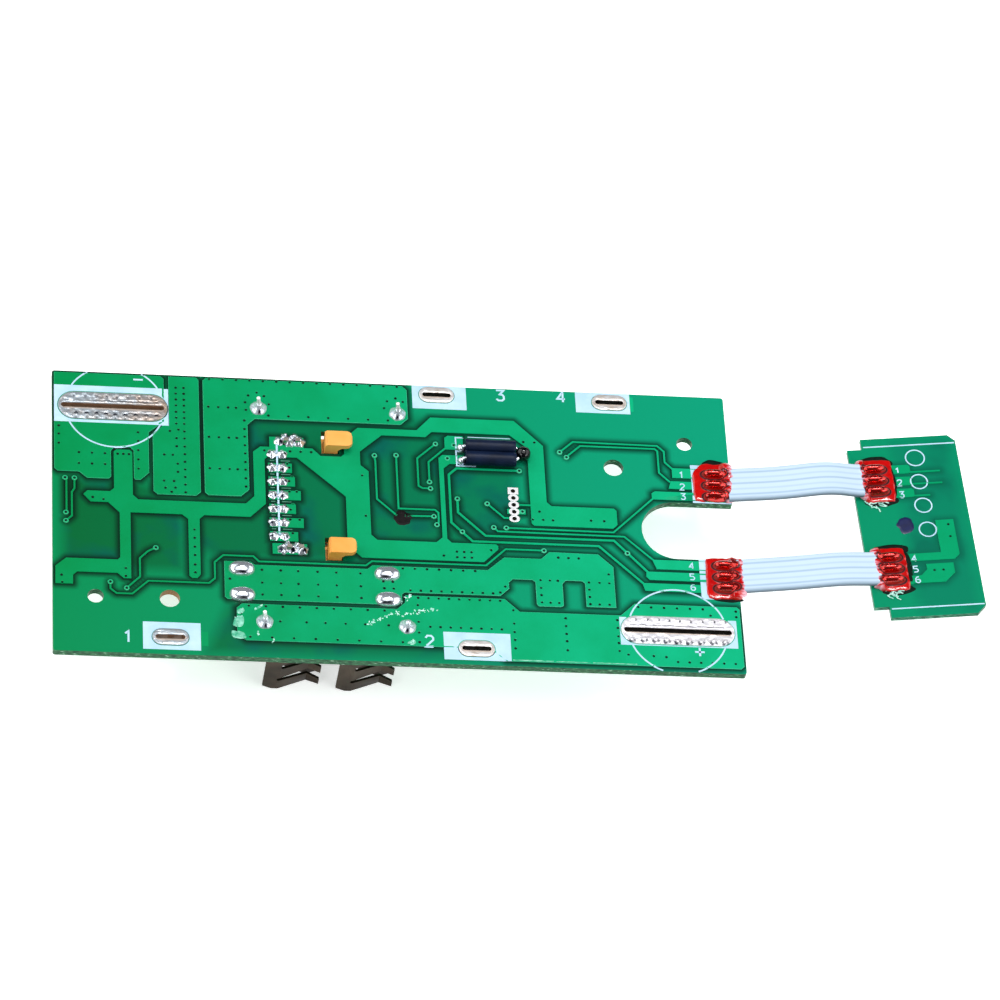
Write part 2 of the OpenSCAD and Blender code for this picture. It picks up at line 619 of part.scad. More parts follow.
// Housing with one chamber per contact, open to the right and towards the tool
module signal_housing() on_board() color(orange) difference() {
    union() {
        translate([housing_x, contact_y - housing_w / 2, under - housing_h])
            cube([housing_l, housing_w, housing_h]);
        for (a = [-1, 1])
            translate([hook_x, hook_y(a) + hook_w / 2, under]) hook();
    }
    for (i = [0:contact_count - 1])
        translate([housing_x + housing_wall, contact_row_y(i) - chamber_w / 2, under - housing_h - 1])
            cube([housing_l, chamber_w, housing_h + 2]);
    // lead-in along the chambers
    translate([0, contact_y + (contact_count / 2) * contact_pitch, 0]) rotate([90, 0, 0])
        linear_extrude(contact_count * contact_pitch) polygon([
            [housing_x + housing_l - 2.6, under - housing_h - eps],
            [housing_x + housing_l + eps, under - housing_h - eps],
            [housing_x + housing_l + eps, under - housing_h + 2.6]]);
    for (a = [-1, 1]) {
        // pockets of the anchors
        translate([anchor_x - 1.3, contact_y + a * anchor_pitch - 0.4, under - 3.1])
            cube([2.6, 0.8, 4]);
        // hollows beside the chambers
        translate([housing_x + housing_wall, contact_y + a * (anchor_pitch + 0.2) - 1.0,
                   under - housing_h - 1])
            cube([housing_l - 2 * housing_wall, 2.0, housing_h - 3.0]);
    }
}

// ---- thermistor ----------------------------------------------------------------

bead_x = thermistor_x + 0.4 + sleeve_l + bead_d / 2;

module thermistor_wire(s) {
    y = thermistor_y + s * sleeve_d / 2;
    z = sleeve_d / 2;
    translate([thermistor_x, y, under]) cylinder(d = wire_d, h = board_t + z);
    translate([thermistor_x, y, z]) sphere(d = wire_d * 1.06);
    translate([thermistor_x, y, z]) rotate([0, 90, 0])
        cylinder(d = wire_d, h = sleeve_l + 0.6);
    // the wire closes in to the bead
    translate([thermistor_x + sleeve_l + 0.6, y, z]) sphere(d = wire_d * 1.06);
    translate([thermistor_x + sleeve_l + 0.6, y, z])
        rotate([0, 90, atan2(-s * sleeve_d / 2, bead_d / 2)]) cylinder(d = wire_d, h = bead_d / 2);
}

module thermistor() on_board() color(black) {
    for (s = [-1, 1]) thermistor_wire(s);
    translate([bead_x, thermistor_y, sleeve_d / 2 + 0.1]) sphere(d = bead_d);
}

module sleeve(s) on_board() color(black) difference() {
    translate([thermistor_x + 0.4, thermistor_y + s * sleeve_d / 2, sleeve_d / 2])
        rotate([0, 90, 0]) cylinder(d = sleeve_d - 0.02, h = sleeve_l);
    thermistor_wire(s);
    translate([bead_x, thermistor_y, sleeve_d / 2 + 0.1]) sphere(d = bead_d + 0.02);
}
module rear_sleeve() sleeve(1);
module front_sleeve() sleeve(-1);

module thermistor_solder() on_board() color(tin) for (s = [-1, 1])
    difference() {
        translate([thermistor_x, thermistor_y + s * sleeve_d / 2, copper_t]) drop(1.5, 0.9);
        thermistor_wire(s);
        translate([thermistor_x + 0.4, thermistor_y + s * sleeve_d / 2, sleeve_d / 2])
            rotate([0, 90, 0]) cylinder(d = sleeve_d, h = 2);
    }

// ---- flat leads ----------------------------------------------------------------

lead_z = copper_t + 0.1 + lead_t / 2;
core_z = copper_t + 0.1 + core_d / 2;

// Height of a lead's middle along its run f = 0..1, from z0 to z1, with its wave past the middle
function lead_height(f, z0, z1, wave) =
    z0 + (z1 - z0) * (1 - cos(180 * f)) / 2 + wave * pow(sin(180 * f * f), 2);

module lead_jacket(y, display_end_y, wave) {
    a = [rx(0.8), y, lead_z];
    b = on_display(1.6, display_end_y, lead_z);
    run = norm([b.x - a.x, b.y - a.y]);
    path = [for (i = [0:24]) [run * i / 24, lead_height(i / 24, a.z, b.z, wave)]];
    translate([a.x, a.y, 0]) rotate([0, 0, atan2(b.y - a.y, b.x - a.x)])
        translate([0, lead_w / 2, 0]) rotate([90, 0, 0]) linear_extrude(lead_w)
            polygon(strip_outline(path, lead_t));
}

module lead_cores(y) for (k = [-1, 0, 1])
    translate([joint_x - 0.6, y + k * core_pitch, core_z]) rotate([0, 90, 0])
        cylinder(d = core_d, h = 2.6);

module display_cores(y) for (k = [-1, 0, 1])
    translate([1.2, y + k * core_pitch, core_z]) rotate([0, 90, 0])
        cylinder(d = core_d, h = display_joint_x - 1.2 + 0.6);

module lead(y, display_end_y, wave) {
    on_board() lead_jacket(y, display_end_y, wave);
    on_board() lead_cores(y);
    on_display_board() display_cores(display_end_y);
}

module upper_lead() color("white") lead(upper_y, display_upper_y, lead_wave);
module lower_lead() color("white") lead(lower_y, display_lower_y, lead_wave / 2);

module lead_joints(x, y) for (k = [-1, 0, 1])
    translate([x, y + k * core_pitch, copper_t]) mound(joint_l, joint_d);

module lead_solder() color(tin) difference() {
    on_board() for (y = [upper_y, lower_y]) lead_joints(joint_x, y);
    upper_lead();
    lower_lead();
}

module display_lead_solder() color(tin) difference() {
    on_display_board() for (y = [display_upper_y, display_lower_y])
        lead_joints(display_joint_x, y);
    upper_lead();
    lower_lead();
}

// A poured cushion of sealant with rounded shoulders
module cushion(l, w, h) hull() {
    for (x = [-1, 1], y = [-1, 1])
        translate([x * (l / 2 - 0.6), y * (w / 2 - 0.6), 0]) cylinder(r = 0.6, h = 0.6, $fn = 24);
    for (x = [-1, 1], y = [-1, 1])
        translate([x * (l / 2 - 1.3), y * (w / 2 - 1.3), h - 0.4]) cylinder(r = 0.6, h = 0.4, $fn = 24);
}

sealant_l = 5.9;
sealant_w = 6.4;
sealant_h = 1.6;

// A cushion over the joints at y, moved by shift from the middle core, with room for a lead
module sealant(y, shift) color(sealant_red) difference() {
    on_board() translate([joint_x - 0.3, y + shift, copper_t])
        cushion(sealant_l, sealant_w, sealant_h);
    on_board() lead_joints(joint_x, y);
    children();
}

module display_sealant(y) color(sealant_red) difference() {
    on_display_board() translate([display_joint_x, y, copper_t])
        cushion(sealant_l - 0.4, sealant_w + 0.8, sealant_h);
    on_display_board() lead_joints(display_joint_x, y);
    children();
}

module upper_sealant() sealant(upper_y, 0.3) upper_lead();
module lower_sealant() sealant(lower_y, -0.1) lower_lead();
module upper_display_sealant() display_sealant(display_upper_y) upper_lead();
module lower_display_sealant() display_sealant(display_lower_y) lower_lead();

// ---- display board -------------------------------------------------------------

module display_board() on_display_board() color(laminate)
    translate([0, 0, -display_t]) linear_extrude(display_t) polygon([
        [2.3, 0], [display_w - 1.4, 0], [display_w, 1.4], [display_w, display_l - 1.1],
        [display_w - 1.1, display_l], [2.3, display_l], [2.3, display_l - 1.9],
        [0, display_l - 1.9], [0, 2.0], [2.3, 2.0]]);

module display_joint_row(y) for (k = [-1, 0, 1])
    translate([display_joint_x - 2.1, y + k * core_pitch - 0.75]) square([5.2, 1.5]);

module display_copper() on_display_board() color(mask) linear_extrude(copper_t) {
    display_joint_row(display_upper_y);
    display_joint_row(display_lower_y);
    for (k = [0, 1, 2])
        polygon([[6.3, 21.7 + 2.2 * k], [6.3, 23.3 + 2.2 * k], [8.9, 23.3 + 2.2 * k],
                 [9.2, 23.0 + 2.2 * k], [9.2, 22.0 + 2.2 * k], [8.9, 21.7 + 2.2 * k]]);
    polygon([[6.4, 9.95], [6.4, 11.3], [11.6, 11.3], [11.6, 17.2], [14.4, 17.2], [14.4, 10.8],
             [13.5, 9.95]]);
    polygon([[6.4, 5.9], [11.5, 5.9], [13.2, 7.5], [13.2, 9.3], [9.0, 9.3], [9.0, 8.3],
             [8.0, 7.3], [6.4, 7.3]]);
    tracks([[[9.1, 26.3], [13.8, 26.3]], [[9.1, 24.1], [13.8, 24.1]], [[9.1, 21.9], [11.6, 21.9]]],
           0.3);
}

// A small light: a white base with a clear window that faces down
module light(i) on_display_board() color("white")
    translate([light_x, light_y + (4 - i) * light_pitch, -display_t]) mirror([0, 0, 1]) {
        translate([-1.6, -1.0, 0]) cube([3.2, 2.0, 0.5]);
        translate([-1.1, -0.9, 0]) cube([2.2, 1.8, 0.9]);
        translate([0, 0, 0.9 - eps]) cylinder(d1 = 1.6, d2 = 1.2, h = 0.5);
    }

switch_h = 1.6;       // height of the switch without its plunger
cover_t = 0.25;

module at_switch() on_display_board() translate([switch_x, switch_y, -display_t])
    mirror([0, 0, 1]) children();

// Plastic base with a round well for the plunger and its dome
module switch_base() at_switch() color(black) difference() {
    linear_extrude(switch_h - cover_t) difference() {
        translate([-switch_w / 2, -switch_w / 2]) square(switch_w);
        for (a = [0:90:270]) rotate(a + 45) translate([switch_w * 0.66, 0]) circle(r = 0.5);
    }
    translate([0, 0, 0.5]) cylinder(d = plunger_d + 1.2, h = switch_h);
}

module switch_cover() at_switch() color(tin) translate([0, 0, switch_h - cover_t])
    linear_extrude(cover_t) difference() {
        translate([-switch_w / 2, -switch_w / 2]) square(switch_w);
        circle(d = plunger_d + 2 * plunger_gap);
    }

// Plunger: a stem through the cover and a flange that keeps it in
module switch_plunger() at_switch() color(black) {
    translate([0, 0, switch_h - cover_t - 0.32]) cylinder(d = plunger_d + 0.8, h = 0.3);
    translate([0, 0, switch_h - cover_t - 0.3]) cylinder(d = plunger_d, h = cover_t + 1.1);
}

// ---- components under the main board -------------------------------------------

module at_under(x, y, turn = 0) on_board() translate([x, y, under]) mirror([0, 0, 1])
    rotate([0, 0, turn]) children();

// Flat power package with four short leads on two sides
module power_package() {
    translate([-2.5, -2.45, 0]) cube([5.0, 4.9, 1.0]);
    for (s = [-1, 1], k = [-1.5:1:1.5]) translate([s * 2.8 - 0.35, k * 1.27 - 0.2, 0])
        cube([0.7, 0.4, 0.3]);
}

module charge_transistors() color(black) for (x = [rx(28.9), rx(21.25)])
    at_under(x, 13.3, 90) power_package();

module discharge_transistors() color(black) for (y = [ry(14.1), ry(8.4)])
    at_under(22.5, y) power_package();

// Metal-strip resistor that bridges two copper areas
module shunt_resistor() color(black) at_under(14.8, 34.6) {
    translate([-2.2, -1.6, 0]) cube([4.4, 3.2, 0.8]);
    for (s = [-1, 1]) translate([s * 2.7 - 0.5, -1.6, 0]) cube([1.0, 3.2, 0.6]);
}

// Small-outline chip with n leads along each long side
module outline_chip(l, w, h, n, pitch, span) {
    translate([-w / 2, -l / 2, 0.1]) cube([w, l, h]);
    for (s = [-1, 1], k = [0:n - 1])
        translate([s * (w / 2 + span) / 2 - (span - w / 2 + 0.2) / 2,
                   (k - (n - 1) / 2) * pitch - pitch / 5, 0])
            cube([span - w / 2 + 0.2, pitch / 2.5, 0.3]);
}

module control_chip() color(black) at_under(65.0, 30.2) outline_chip(6.5, 4.4, 1.0, 10, 0.65, 3.2);
module monitor_chip() color(black) at_under(53.0, 31.6) outline_chip(9.9, 3.9, 1.5, 8, 1.27, 3.0);

module surge_diode() color(black) at_under(62.5, 9.0) {
    translate([-2.2, -1.8, 0.05]) cube([4.4, 3.6, 2.2]);
    for (s = [-1, 1]) translate([s * 2.3 - 0.4, -1.0, 0]) cube([0.8, 2.0, 0.9]);
}

module small_transistor() {
    translate([-1.45, -0.65, 0.05]) cube([2.9, 1.3, 1.0]);
    for (x = [-0.95, 0.95]) translate([x - 0.2, -1.2, 0]) cube([0.4, 0.8, 0.2]);
    translate([-0.2, 0.4, 0]) cube([0.4, 0.8, 0.2]);
}

// Rows of small parts: first x, first y, step in x, step in y, count, turn
transistor_rows = [[57.5, 45.6, 5, 0, 4, 0], [rx(26), 25.5, 5, 0, 3, 180]];
large_resistor_rows = [[55, 42.6, 4.2, 0, 5, 0]];
small_resistor_rows = [[rx(28), 33.0, 3, 0, 5, 90], [50, 24.2, 2.6, 0, 6, 90], [4, 19.5, 3, 0, 4, 90]];
capacitor_rows = [[59.6, 27.0, 0, 2.4, 4, 0], [rx(12), 18.2, 0, -2.2, 4, 0],
                  [48.0, 34.0, 0, 2.4, 3, 0]];

module along_rows(rows) for (r = rows, i = [0:r[4] - 1])
    at_under(r[0] + i * r[2], r[1] + i * r[3], r[5]) children();

module chip_part(l, w, h) translate([-l / 2, -w / 2, 0]) cube([l, w, h]);

module small_transistors() color(black) along_rows(transistor_rows) small_transistor();

module chip_resistors() color(black) {
    along_rows(large_resistor_rows) chip_part(3.2, 1.6, 0.6);
    along_rows(small_resistor_rows) chip_part(2.0, 1.25, 0.5);
}

module chip_capacitors() color("tan") along_rows(capacitor_rows) chip_part(2.0, 1.25, 0.9);

// ---- nodes ---------------------------------------------------------------------

main_board();
battery_minus_copper();
shunt_copper();
minus_copper();
ground_copper();
charge_copper();
plus_copper();
signal_copper();
minus_strip_land();
plus_strip_land();
tap_strip_lands();
test_lands();
plus_terminal();
minus_terminal();
charge_terminal();
plus_solder();
minus_solder();
charge_solder();
contact_solder();
signal_housing();
for (i = [1:contact_count])
    signal_contact(i - 1);
front_anchor();
rear_anchor();
thermistor();
rear_sleeve();
front_sleeve();
thermistor_solder();
upper_lead();
lower_lead();
lead_solder();
display_lead_solder();
upper_sealant();
lower_sealant();
upper_display_sealant();
lower_display_sealant();
display_board();
display_copper();
light(1);  // light_1
light(2);  // light_2
light(3);  // light_3
light(4);  // light_4
switch_base();
switch_cover();
switch_plunger();
charge_transistors();
discharge_transistors();
shunt_resistor();
control_chip();
monitor_chip();
surge_diode();
small_transistors();
chip_resistors();
chip_capacitors();
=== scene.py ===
import math
import random

import bmesh
import bpy
from mathutils import Matrix, Vector, noise
from mathutils.bvhtree import BVHTree
from mathutils.geometry import tessellate_polygon


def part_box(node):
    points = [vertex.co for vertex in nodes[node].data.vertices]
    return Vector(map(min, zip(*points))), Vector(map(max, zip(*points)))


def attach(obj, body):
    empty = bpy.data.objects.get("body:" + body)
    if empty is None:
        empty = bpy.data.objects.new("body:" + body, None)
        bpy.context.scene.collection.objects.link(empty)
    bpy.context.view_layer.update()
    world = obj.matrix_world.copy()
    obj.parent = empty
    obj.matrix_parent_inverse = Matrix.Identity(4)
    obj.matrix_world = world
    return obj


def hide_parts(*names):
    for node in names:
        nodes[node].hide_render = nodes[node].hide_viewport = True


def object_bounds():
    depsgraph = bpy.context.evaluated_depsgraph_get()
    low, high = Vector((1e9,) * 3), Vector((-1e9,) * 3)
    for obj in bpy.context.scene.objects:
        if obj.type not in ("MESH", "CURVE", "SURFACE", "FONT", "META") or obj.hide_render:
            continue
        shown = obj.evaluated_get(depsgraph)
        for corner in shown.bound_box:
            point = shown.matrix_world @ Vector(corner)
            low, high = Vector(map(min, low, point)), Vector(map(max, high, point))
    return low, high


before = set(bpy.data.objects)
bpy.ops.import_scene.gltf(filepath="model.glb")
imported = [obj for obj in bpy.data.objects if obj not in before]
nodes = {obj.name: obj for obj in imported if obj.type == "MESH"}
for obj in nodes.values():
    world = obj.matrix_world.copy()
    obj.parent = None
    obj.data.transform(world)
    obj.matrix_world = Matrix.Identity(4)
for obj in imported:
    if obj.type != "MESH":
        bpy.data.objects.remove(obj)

# A battery management board with its solder side up. Shapes are made in millimetres in a
# board's own frame (x from its left edge, y from its front edge, z up from its solder face)
# and a place matrix then puts them where the frame has that board.

noise.seed_set(5)   # the lumps of solder come out the same each run
scene = bpy.context.scene
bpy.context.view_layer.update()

boardLow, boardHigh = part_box("main_board")
mainPlace = Matrix.Translation((boardLow.x, boardLow.y, boardHigh.z)) @ Matrix.Scale(0.001, 4)
board = {"length": (boardHigh.x - boardLow.x) * 1000, "width": (boardHigh.y - boardLow.y) * 1000,
         "thickness": (boardHigh.z - boardLow.z) * 1000, "copper": 0.1}
display = {"centre": (board["length"] + 28.2, 28.2), "width": 17.0, "length": 32.9,
           "turn": 3.5, "tilt": 4.4}
displayPlace = (mainPlace @ Matrix.Translation((*display["centre"], 0))
                @ Matrix.Rotation(math.radians(display["turn"]), 4, "Z")
                @ Matrix.Rotation(math.radians(-display["tilt"]), 4, "Y")
                @ Matrix.Translation((-display["width"] / 2, -display["length"] / 2, 0)))
print("frame loaded:", len(nodes), "parts")


def addNode(tree, kind, settings=None, inputs=None):   # an input is a value or an output
    node = tree.nodes.new(kind)
    for name, value in (settings or {}).items():
        if name == "stops":
            for i, (spot, colour) in enumerate(value):
                stop = node.color_ramp.elements[i] if i < 2 else node.color_ramp.elements.new(spot)
                stop.position, stop.color = spot, linear(colour)
        else:
            setattr(node, name, value)
    for socket, value in (inputs or {}).items():
        if isinstance(value, bpy.types.NodeSocket):
            tree.links.new(value, node.inputs[socket])
        else:
            node.inputs[socket].default_value = value
    return node


def linear(hexColour):
    channels = [int(hexColour[i:i + 2], 16) / 255 for i in (0, 2, 4)]
    return tuple(c / 12.92 if c <= 0.04045 else ((c + 0.055) / 1.055) ** 2.4
                 for c in channels) + (1.0,)


def perMm(size):   # noise scale that gives features of this many millimetres
    return 1000 / size


def newMaterial(name, sheets=(), **sockets):   # sheets are values kept on the piece's points
    material = bpy.data.materials.new(name)
    material.use_nodes = True
    tree = material.node_tree
    shader = tree.nodes["Principled BSDF"]
    for socket, value in sockets.items():
        shader.inputs[socket.replace("_", " ")].default_value = value
    where = addNode(tree, "ShaderNodeTexCoord").outputs["Object"]
    read = [addNode(tree, "ShaderNodeAttribute", {"attribute_name": sheet}).outputs["Fac"]
            for sheet in sheets]
    return material, tree, shader, where, *read


# Where a point lies along the main board, 0 at its left end and 1 at its right: the mask's
# colour turns bluer and lighter towards the right.
def alongBoard(tree, where):
    parts = addNode(tree, "ShaderNodeSeparateXYZ", inputs={"Vector": where})
    return addNode(tree, "ShaderNodeMapRange", inputs={
        "Value": parts.outputs["X"], "From Min": boardLow.x, "From Max": boardHigh.x}).outputs[0]


def layered(tree, base, *layers):   # lays colours over a base, each as far as its share says
    for share, colour in layers:
        ends = [linear(c) if isinstance(c, str) else c for c in (base, colour)]
        base = addNode(tree, "ShaderNodeMix", {"data_type": "RGBA"},
                       {0: share, 6: ends[0], 7: ends[1]}).outputs[2]
    return base


def relief(tree, shader, where, grain, strength, depth, **more):   # grain in mm, depth in m
    height = addNode(tree, "ShaderNodeTexNoise", inputs={
        "Vector": where, "Scale": perMm(grain), "Detail": 2.0, **more})
    bump = addNode(tree, "ShaderNodeBump", inputs={
        "Height": height.outputs["Fac"], "Strength": strength, "Distance": depth})
    tree.links.new(bump.outputs["Normal"], shader.inputs["Normal"])


# Liquid solder mask over glass-fibre laminate: deep glossy green with the faint orange peel of
# cured mask, brightened by the light that comes back through the laminate where neither face
# has copper, and darkened beside copper on this face as painted shade; routed edges are
# stained green and drilled ones are bare tan.
def maskedLaminate(name, look):
    material, tree, shader, where, far, near, bored = newMaterial(
        name, ("farCopper", "nearCopper", "bored"), Roughness=0.3, Specular_IOR_Level=0.12)
    along = alongBoard(tree, where)
    shades = {key: layered(tree, look[key][0], (along, look[key][1]))
              for key in ("open", "covered", "shaded")}
    cloud = addNode(tree, "ShaderNodeTexNoise", inputs={
        "Vector": where, "Scale": perMm(9), "Detail": 3.0})
    drift = addNode(tree, "ShaderNodeMapRange", inputs={
        "Value": cloud.outputs["Fac"], "From Min": 0.48, "From Max": 0.66, "To Max": 0.75})
    covered = layered(tree, shades["covered"], (drift.outputs[0], look["teal"]))
    # the shaded colour is painted shade, laid on beside copper on this face
    masked = layered(tree, shades["open"], (far, covered), (near, shades["shaded"]))
    # the cut edge shows the woven layers as fine lines along the board
    lines = addNode(tree, "ShaderNodeMapping", inputs={"Vector": where, "Scale": (1, 1, 5)})
    fibre = addNode(tree, "ShaderNodeTexNoise", inputs={
        "Vector": lines.outputs["Vector"], "Scale": perMm(0.9), "Detail": 3.0})
    edge = addNode(tree, "ShaderNodeValToRGB", {"stops": [
        (0.42, look["edge"]), (0.64, look["fibre"]), (0.7, "A9C8B4")]},
        {"Fac": fibre.outputs["Fac"]})
    facing = addNode(tree, "ShaderNodeNewGeometry")
    parts = addNode(tree, "ShaderNodeSeparateXYZ", inputs={"Vector": facing.outputs["Normal"]})
    upright = addNode(tree, "ShaderNodeMath", {"operation": "ABSOLUTE"}, {0: parts.outputs["Z"]})
    flat = addNode(tree, "ShaderNodeMath", {"operation": "GREATER_THAN"},
                   {0: upright.outputs[0], 1: 0.35})
    tree.links.new(layered(tree, edge.outputs["Color"], (bored, look["bored"]),
                           (flat.outputs[0], masked)), shader.inputs["Base Color"])
    relief(tree, shader, where, 0.8, 0.1, 0.00002)
    return material


# Solder mask over copper foil: brighter green with a faint cloudiness and a glassy skin.
def maskedCopper(name, left, right):
    material, tree, shader, where = newMaterial(name, Roughness=0.28, Specular_IOR_Level=0.12)
    cloud = addNode(tree, "ShaderNodeTexNoise", inputs={
        "Vector": where, "Scale": perMm(7), "Detail": 4.0, "Roughness": 0.55})
    along = alongBoard(tree, where)
    shades = [layered(tree, left[i], (along, right[i])) for i in (0, 1)]
    patch = addNode(tree, "ShaderNodeMapRange", inputs={
        "Value": cloud.outputs["Fac"], "From Min": 0.35, "From Max": 0.68})
    tree.links.new(layered(tree, shades[0], (patch.outputs[0], shades[1])),
                   shader.inputs["Base Color"])
    relief(tree, shader, where, 1.1, 0.12, 0.00002)
    return material


# Tin or solder that froze in soft ridges: where the sheet says so it is tanned by heat, pale at
# a slot's near lip as painted highlight, or dark: with burnt flux along a land's valleys, as
# painted shade beside a land's lumps and as painted dark reflection on a joint.
def frozenTin(name, pale, tan, roughness, ridge, depth, metallic=1.0):
    material, tree, shader, where, tanned, lip, soil = newMaterial(
        name, ("tanned", "lip", "soil"), Roughness=roughness, Metallic=metallic)
    stain = addNode(tree, "ShaderNodeTexNoise", inputs={
        "Vector": where, "Scale": perMm(1.3), "Detail": 4.0})
    total = addNode(tree, "ShaderNodeMath", {"operation": "ADD"},
                    {0: stain.outputs["Fac"], 1: tanned})
    reach = addNode(tree, "ShaderNodeMapRange", inputs={
        "Value": total.outputs[0], "From Min": 0.48, "From Max": 1.1})
    # cream is painted highlight on a slot's near lip; navy is burnt flux in valleys, painted shade
    # and painted dark reflection
    tree.links.new(layered(tree, pale, (reach.outputs[0], tan), (lip, "FBE6D6"),
                           (soil, "12152C")), shader.inputs["Base Color"])
    relief(tree, shader, where, ridge, 0.9, depth, Detail=3.0, Distortion=0.6)
    return material


# A plain surface with one slow colour change and one fine grain in relief.
def grained(name, colours, patch, grain, depth, **sockets):
    material, tree, shader, where = newMaterial(name, **sockets)
    cloud = addNode(tree, "ShaderNodeTexNoise", inputs={
        "Vector": where, "Scale": perMm(patch), "Detail": 3.0})
    colour = addNode(tree, "ShaderNodeValToRGB", {"stops": [
        (0.35, colours[0]), (0.7, colours[1])]}, {"Fac": cloud.outputs["Fac"]})
    tree.links.new(colour.outputs["Color"], shader.inputs["Base Color"])
    relief(tree, shader, where, grain, 0.5, depth)
    return material


# Soft PVC jacket of a flat lead: bluish white, its cores and the seams between them as faint
# darker lines, its rounded edges darker as painted shade, the front one grey.
def leadJacket(name):
    material, tree, shader, where, across = newMaterial(name, ["across"], Roughness=0.4,
                                                        Specular_IOR_Level=0.25)
    # painted shade on the front edge
    stops = [(0.0, "4C565E"), (0.03, "8FA6B8")]
    for middle, shade in ((1 / 6, "9DB9D3"), (1 / 3, "B2CBE1"), (1 / 2, "9DB9D3"),
                          (2 / 3, "B2CBE1"), (5 / 6, "9DB9D3")):
        stops += [(middle - 0.045, "C6DBEF"), (middle, shade), (middle + 0.045, "C6DBEF")]
    # painted shade on the rear edge
    stops += [(0.97, "BFD5EA"), (1.0, "9FB8CE")]
    colour = addNode(tree, "ShaderNodeValToRGB", {"stops": stops}, {"Fac": across})
    tree.links.new(colour.outputs["Color"], shader.inputs["Base Color"])
    relief(tree, shader, where, 0.7, 0.25, 0.00003)
    return material


# Red lacquer brushed over solder joints: on a joint it shows the metal through it, elsewhere
# it is a deep gloss, dull in the valleys between and near black there as painted shade, and pink
# where drawn thin.
def redLacquer(name):
    material, tree, shader, where, joint, thin, valley = newMaterial(
        name, ("joint", "thin", "valley"), Specular_IOR_Level=0.35, Coat_Roughness=0.04)
    cloud = addNode(tree, "ShaderNodeTexNoise", inputs={
        "Vector": where, "Scale": perMm(0.9), "Detail": 3.0})
    body = addNode(tree, "ShaderNodeValToRGB", {"stops": [(0.35, "B80202"), (0.7, "D00804")]},
                   {"Fac": cloud.outputs["Fac"]})
    tree.links.new(layered(tree, body.outputs["Color"], (valley, "2E0006"), (joint, "C4160C"),
                           (thin, "F0B4C6")), shader.inputs["Base Color"])
    for socket, sheet, slope, start in (("Coat Weight", valley, -0.92, 0.95),
                                        ("Roughness", valley, 0.6, 0.16),
                                        ("Metallic", joint, 0.85, 0.0)):
        share = addNode(tree, "ShaderNodeMath", {"operation": "MULTIPLY_ADD"},
                        {0: sheet, 1: slope, 2: start})
        tree.links.new(share.outputs[0], shader.inputs[socket])
    relief(tree, shader, where, 0.9, 0.8, 0.00009, Detail=3.0)
    return material


laminate = maskedLaminate("maskedLaminate", {
    "open": ("00834C", "089470"), "covered": ("00602F", "007858"), "shaded": ("001E12", "003426"),
    "teal": "00554F", "edge": "123F29", "fibre": "3B7A50", "bored": "8F6E47"})
# the thinner display board lets more light through, so it is paler all over
displayLaminate = maskedLaminate("maskedDisplayLaminate", {
    "open": ("00875F", "00875F"), "covered": ("007A5A", "007A5A"), "shaded": ("00624A", "00624A"),
    "teal": "00604C", "edge": "0A4A34", "fibre": "3F8C6C", "bored": "8F6E47"})
copperMask = maskedCopper("maskedCopperFoil", ("008444", "008C4E"), ("08A874", "0EB280"))
# mask drawn thin over the foil's edges: a light green outline, partly painted highlight
edgeMaskAndHighlight = maskedCopper("thinMaskOnEdges", ("1FA06A", "27A872"), ("40BD92", "48C49A"))
displayCopper = maskedCopper("maskedDisplayFoil", ("00925E", "009A66"), ("00925E", "009A66"))
# hot-air-levelled tin, reworked by hand: grey and tanned on the minus land, nearly white on the
# plus land, in between and warm on the tap lands, and smooth on the test lands
minusTin = frozenTin("levelledTinGrey", "AEB8C0", "AE9580", 0.32, 0.8, 0.00009, 0.55)
plusTin = frozenTin("levelledTinBright", "F2F2F8", "E2DAE0", 0.34, 0.8, 0.00007, 0.45)
tapTin = frozenTin("levelledTinTaps", "E8E8EA", "B9A48E", 0.32, 0.6, 0.00005, 0.5)
testTin = frozenTin("levelledTinTests", "F4F4F6", "E4E0E2", 0.3, 0.5, 0.00002, 0.3)
# tin-lead solder, frozen glassy: sharp bright facets; where it cooled slowly, a softer blue-white
solder = frozenTin("brightSolder", "E4EAF4", "BEBAC4", 0.16, 1.3, 0.00003, 0.8)
coneSolder = frozenTin("slowCooledSolder", "E2ECF6", "B4C0D0", 0.2, 0.9, 0.00004, 0.55)
# tinned bronze sheet, stamped: warm silver; the pins' tips are plain pale tin
contactTin = frozenTin("tinnedBronzeSheet", "CFC8BC", "BDB0A0", 0.3, 1.0, 0.00002)
pinTin = grained("bareTinnedPin", ("E9EAEE", "FFFFFF"), 0.5, 0.2, 0.00001, Roughness=0.4)
# painted shade on the walls of the soldered slots, standing for plated walls seen in shade:
# brown, or near black
slotShadeBrown = grained("bakedFluxBrown", ("6A4B34", "7D5C42"), 1.5, 0.3, 0.00003, Roughness=0.5)
slotShadeBlack = grained("bakedFluxBlack", ("060302", "1C140E"), 1.2, 0.3, 0.00003, Roughness=0.7,
                    Specular_IOR_Level=0.1)
# screen-printed epoxy ink: a cool matt white, and a worn print that lets the green through
silkInk = grained("screenPrintInk", ("AFD4EC", "C2E2F7"), 3, 0.3, 0.00002, Roughness=0.55)
fadedInk = grained("fadedPrintInk", ("3C7A62", "4E8E74"), 1, 0.3, 0.00002, Roughness=0.55)
# sprung phosphor-bronze sheet, dulled to a warm brown
bronze = grained("dulledBronzeSheet", ("2C241C", "453A2E"), 4, 0.25, 0.00001,
                 Metallic=0.8, Roughness=0.42)
# moulded polyester, satin orange
orangePlastic = grained("mouldedOrangePolyester", ("F7A344", "FCB55C"), 5, 0.35, 0.00002,
                        Roughness=0.4, IOR=1.5)
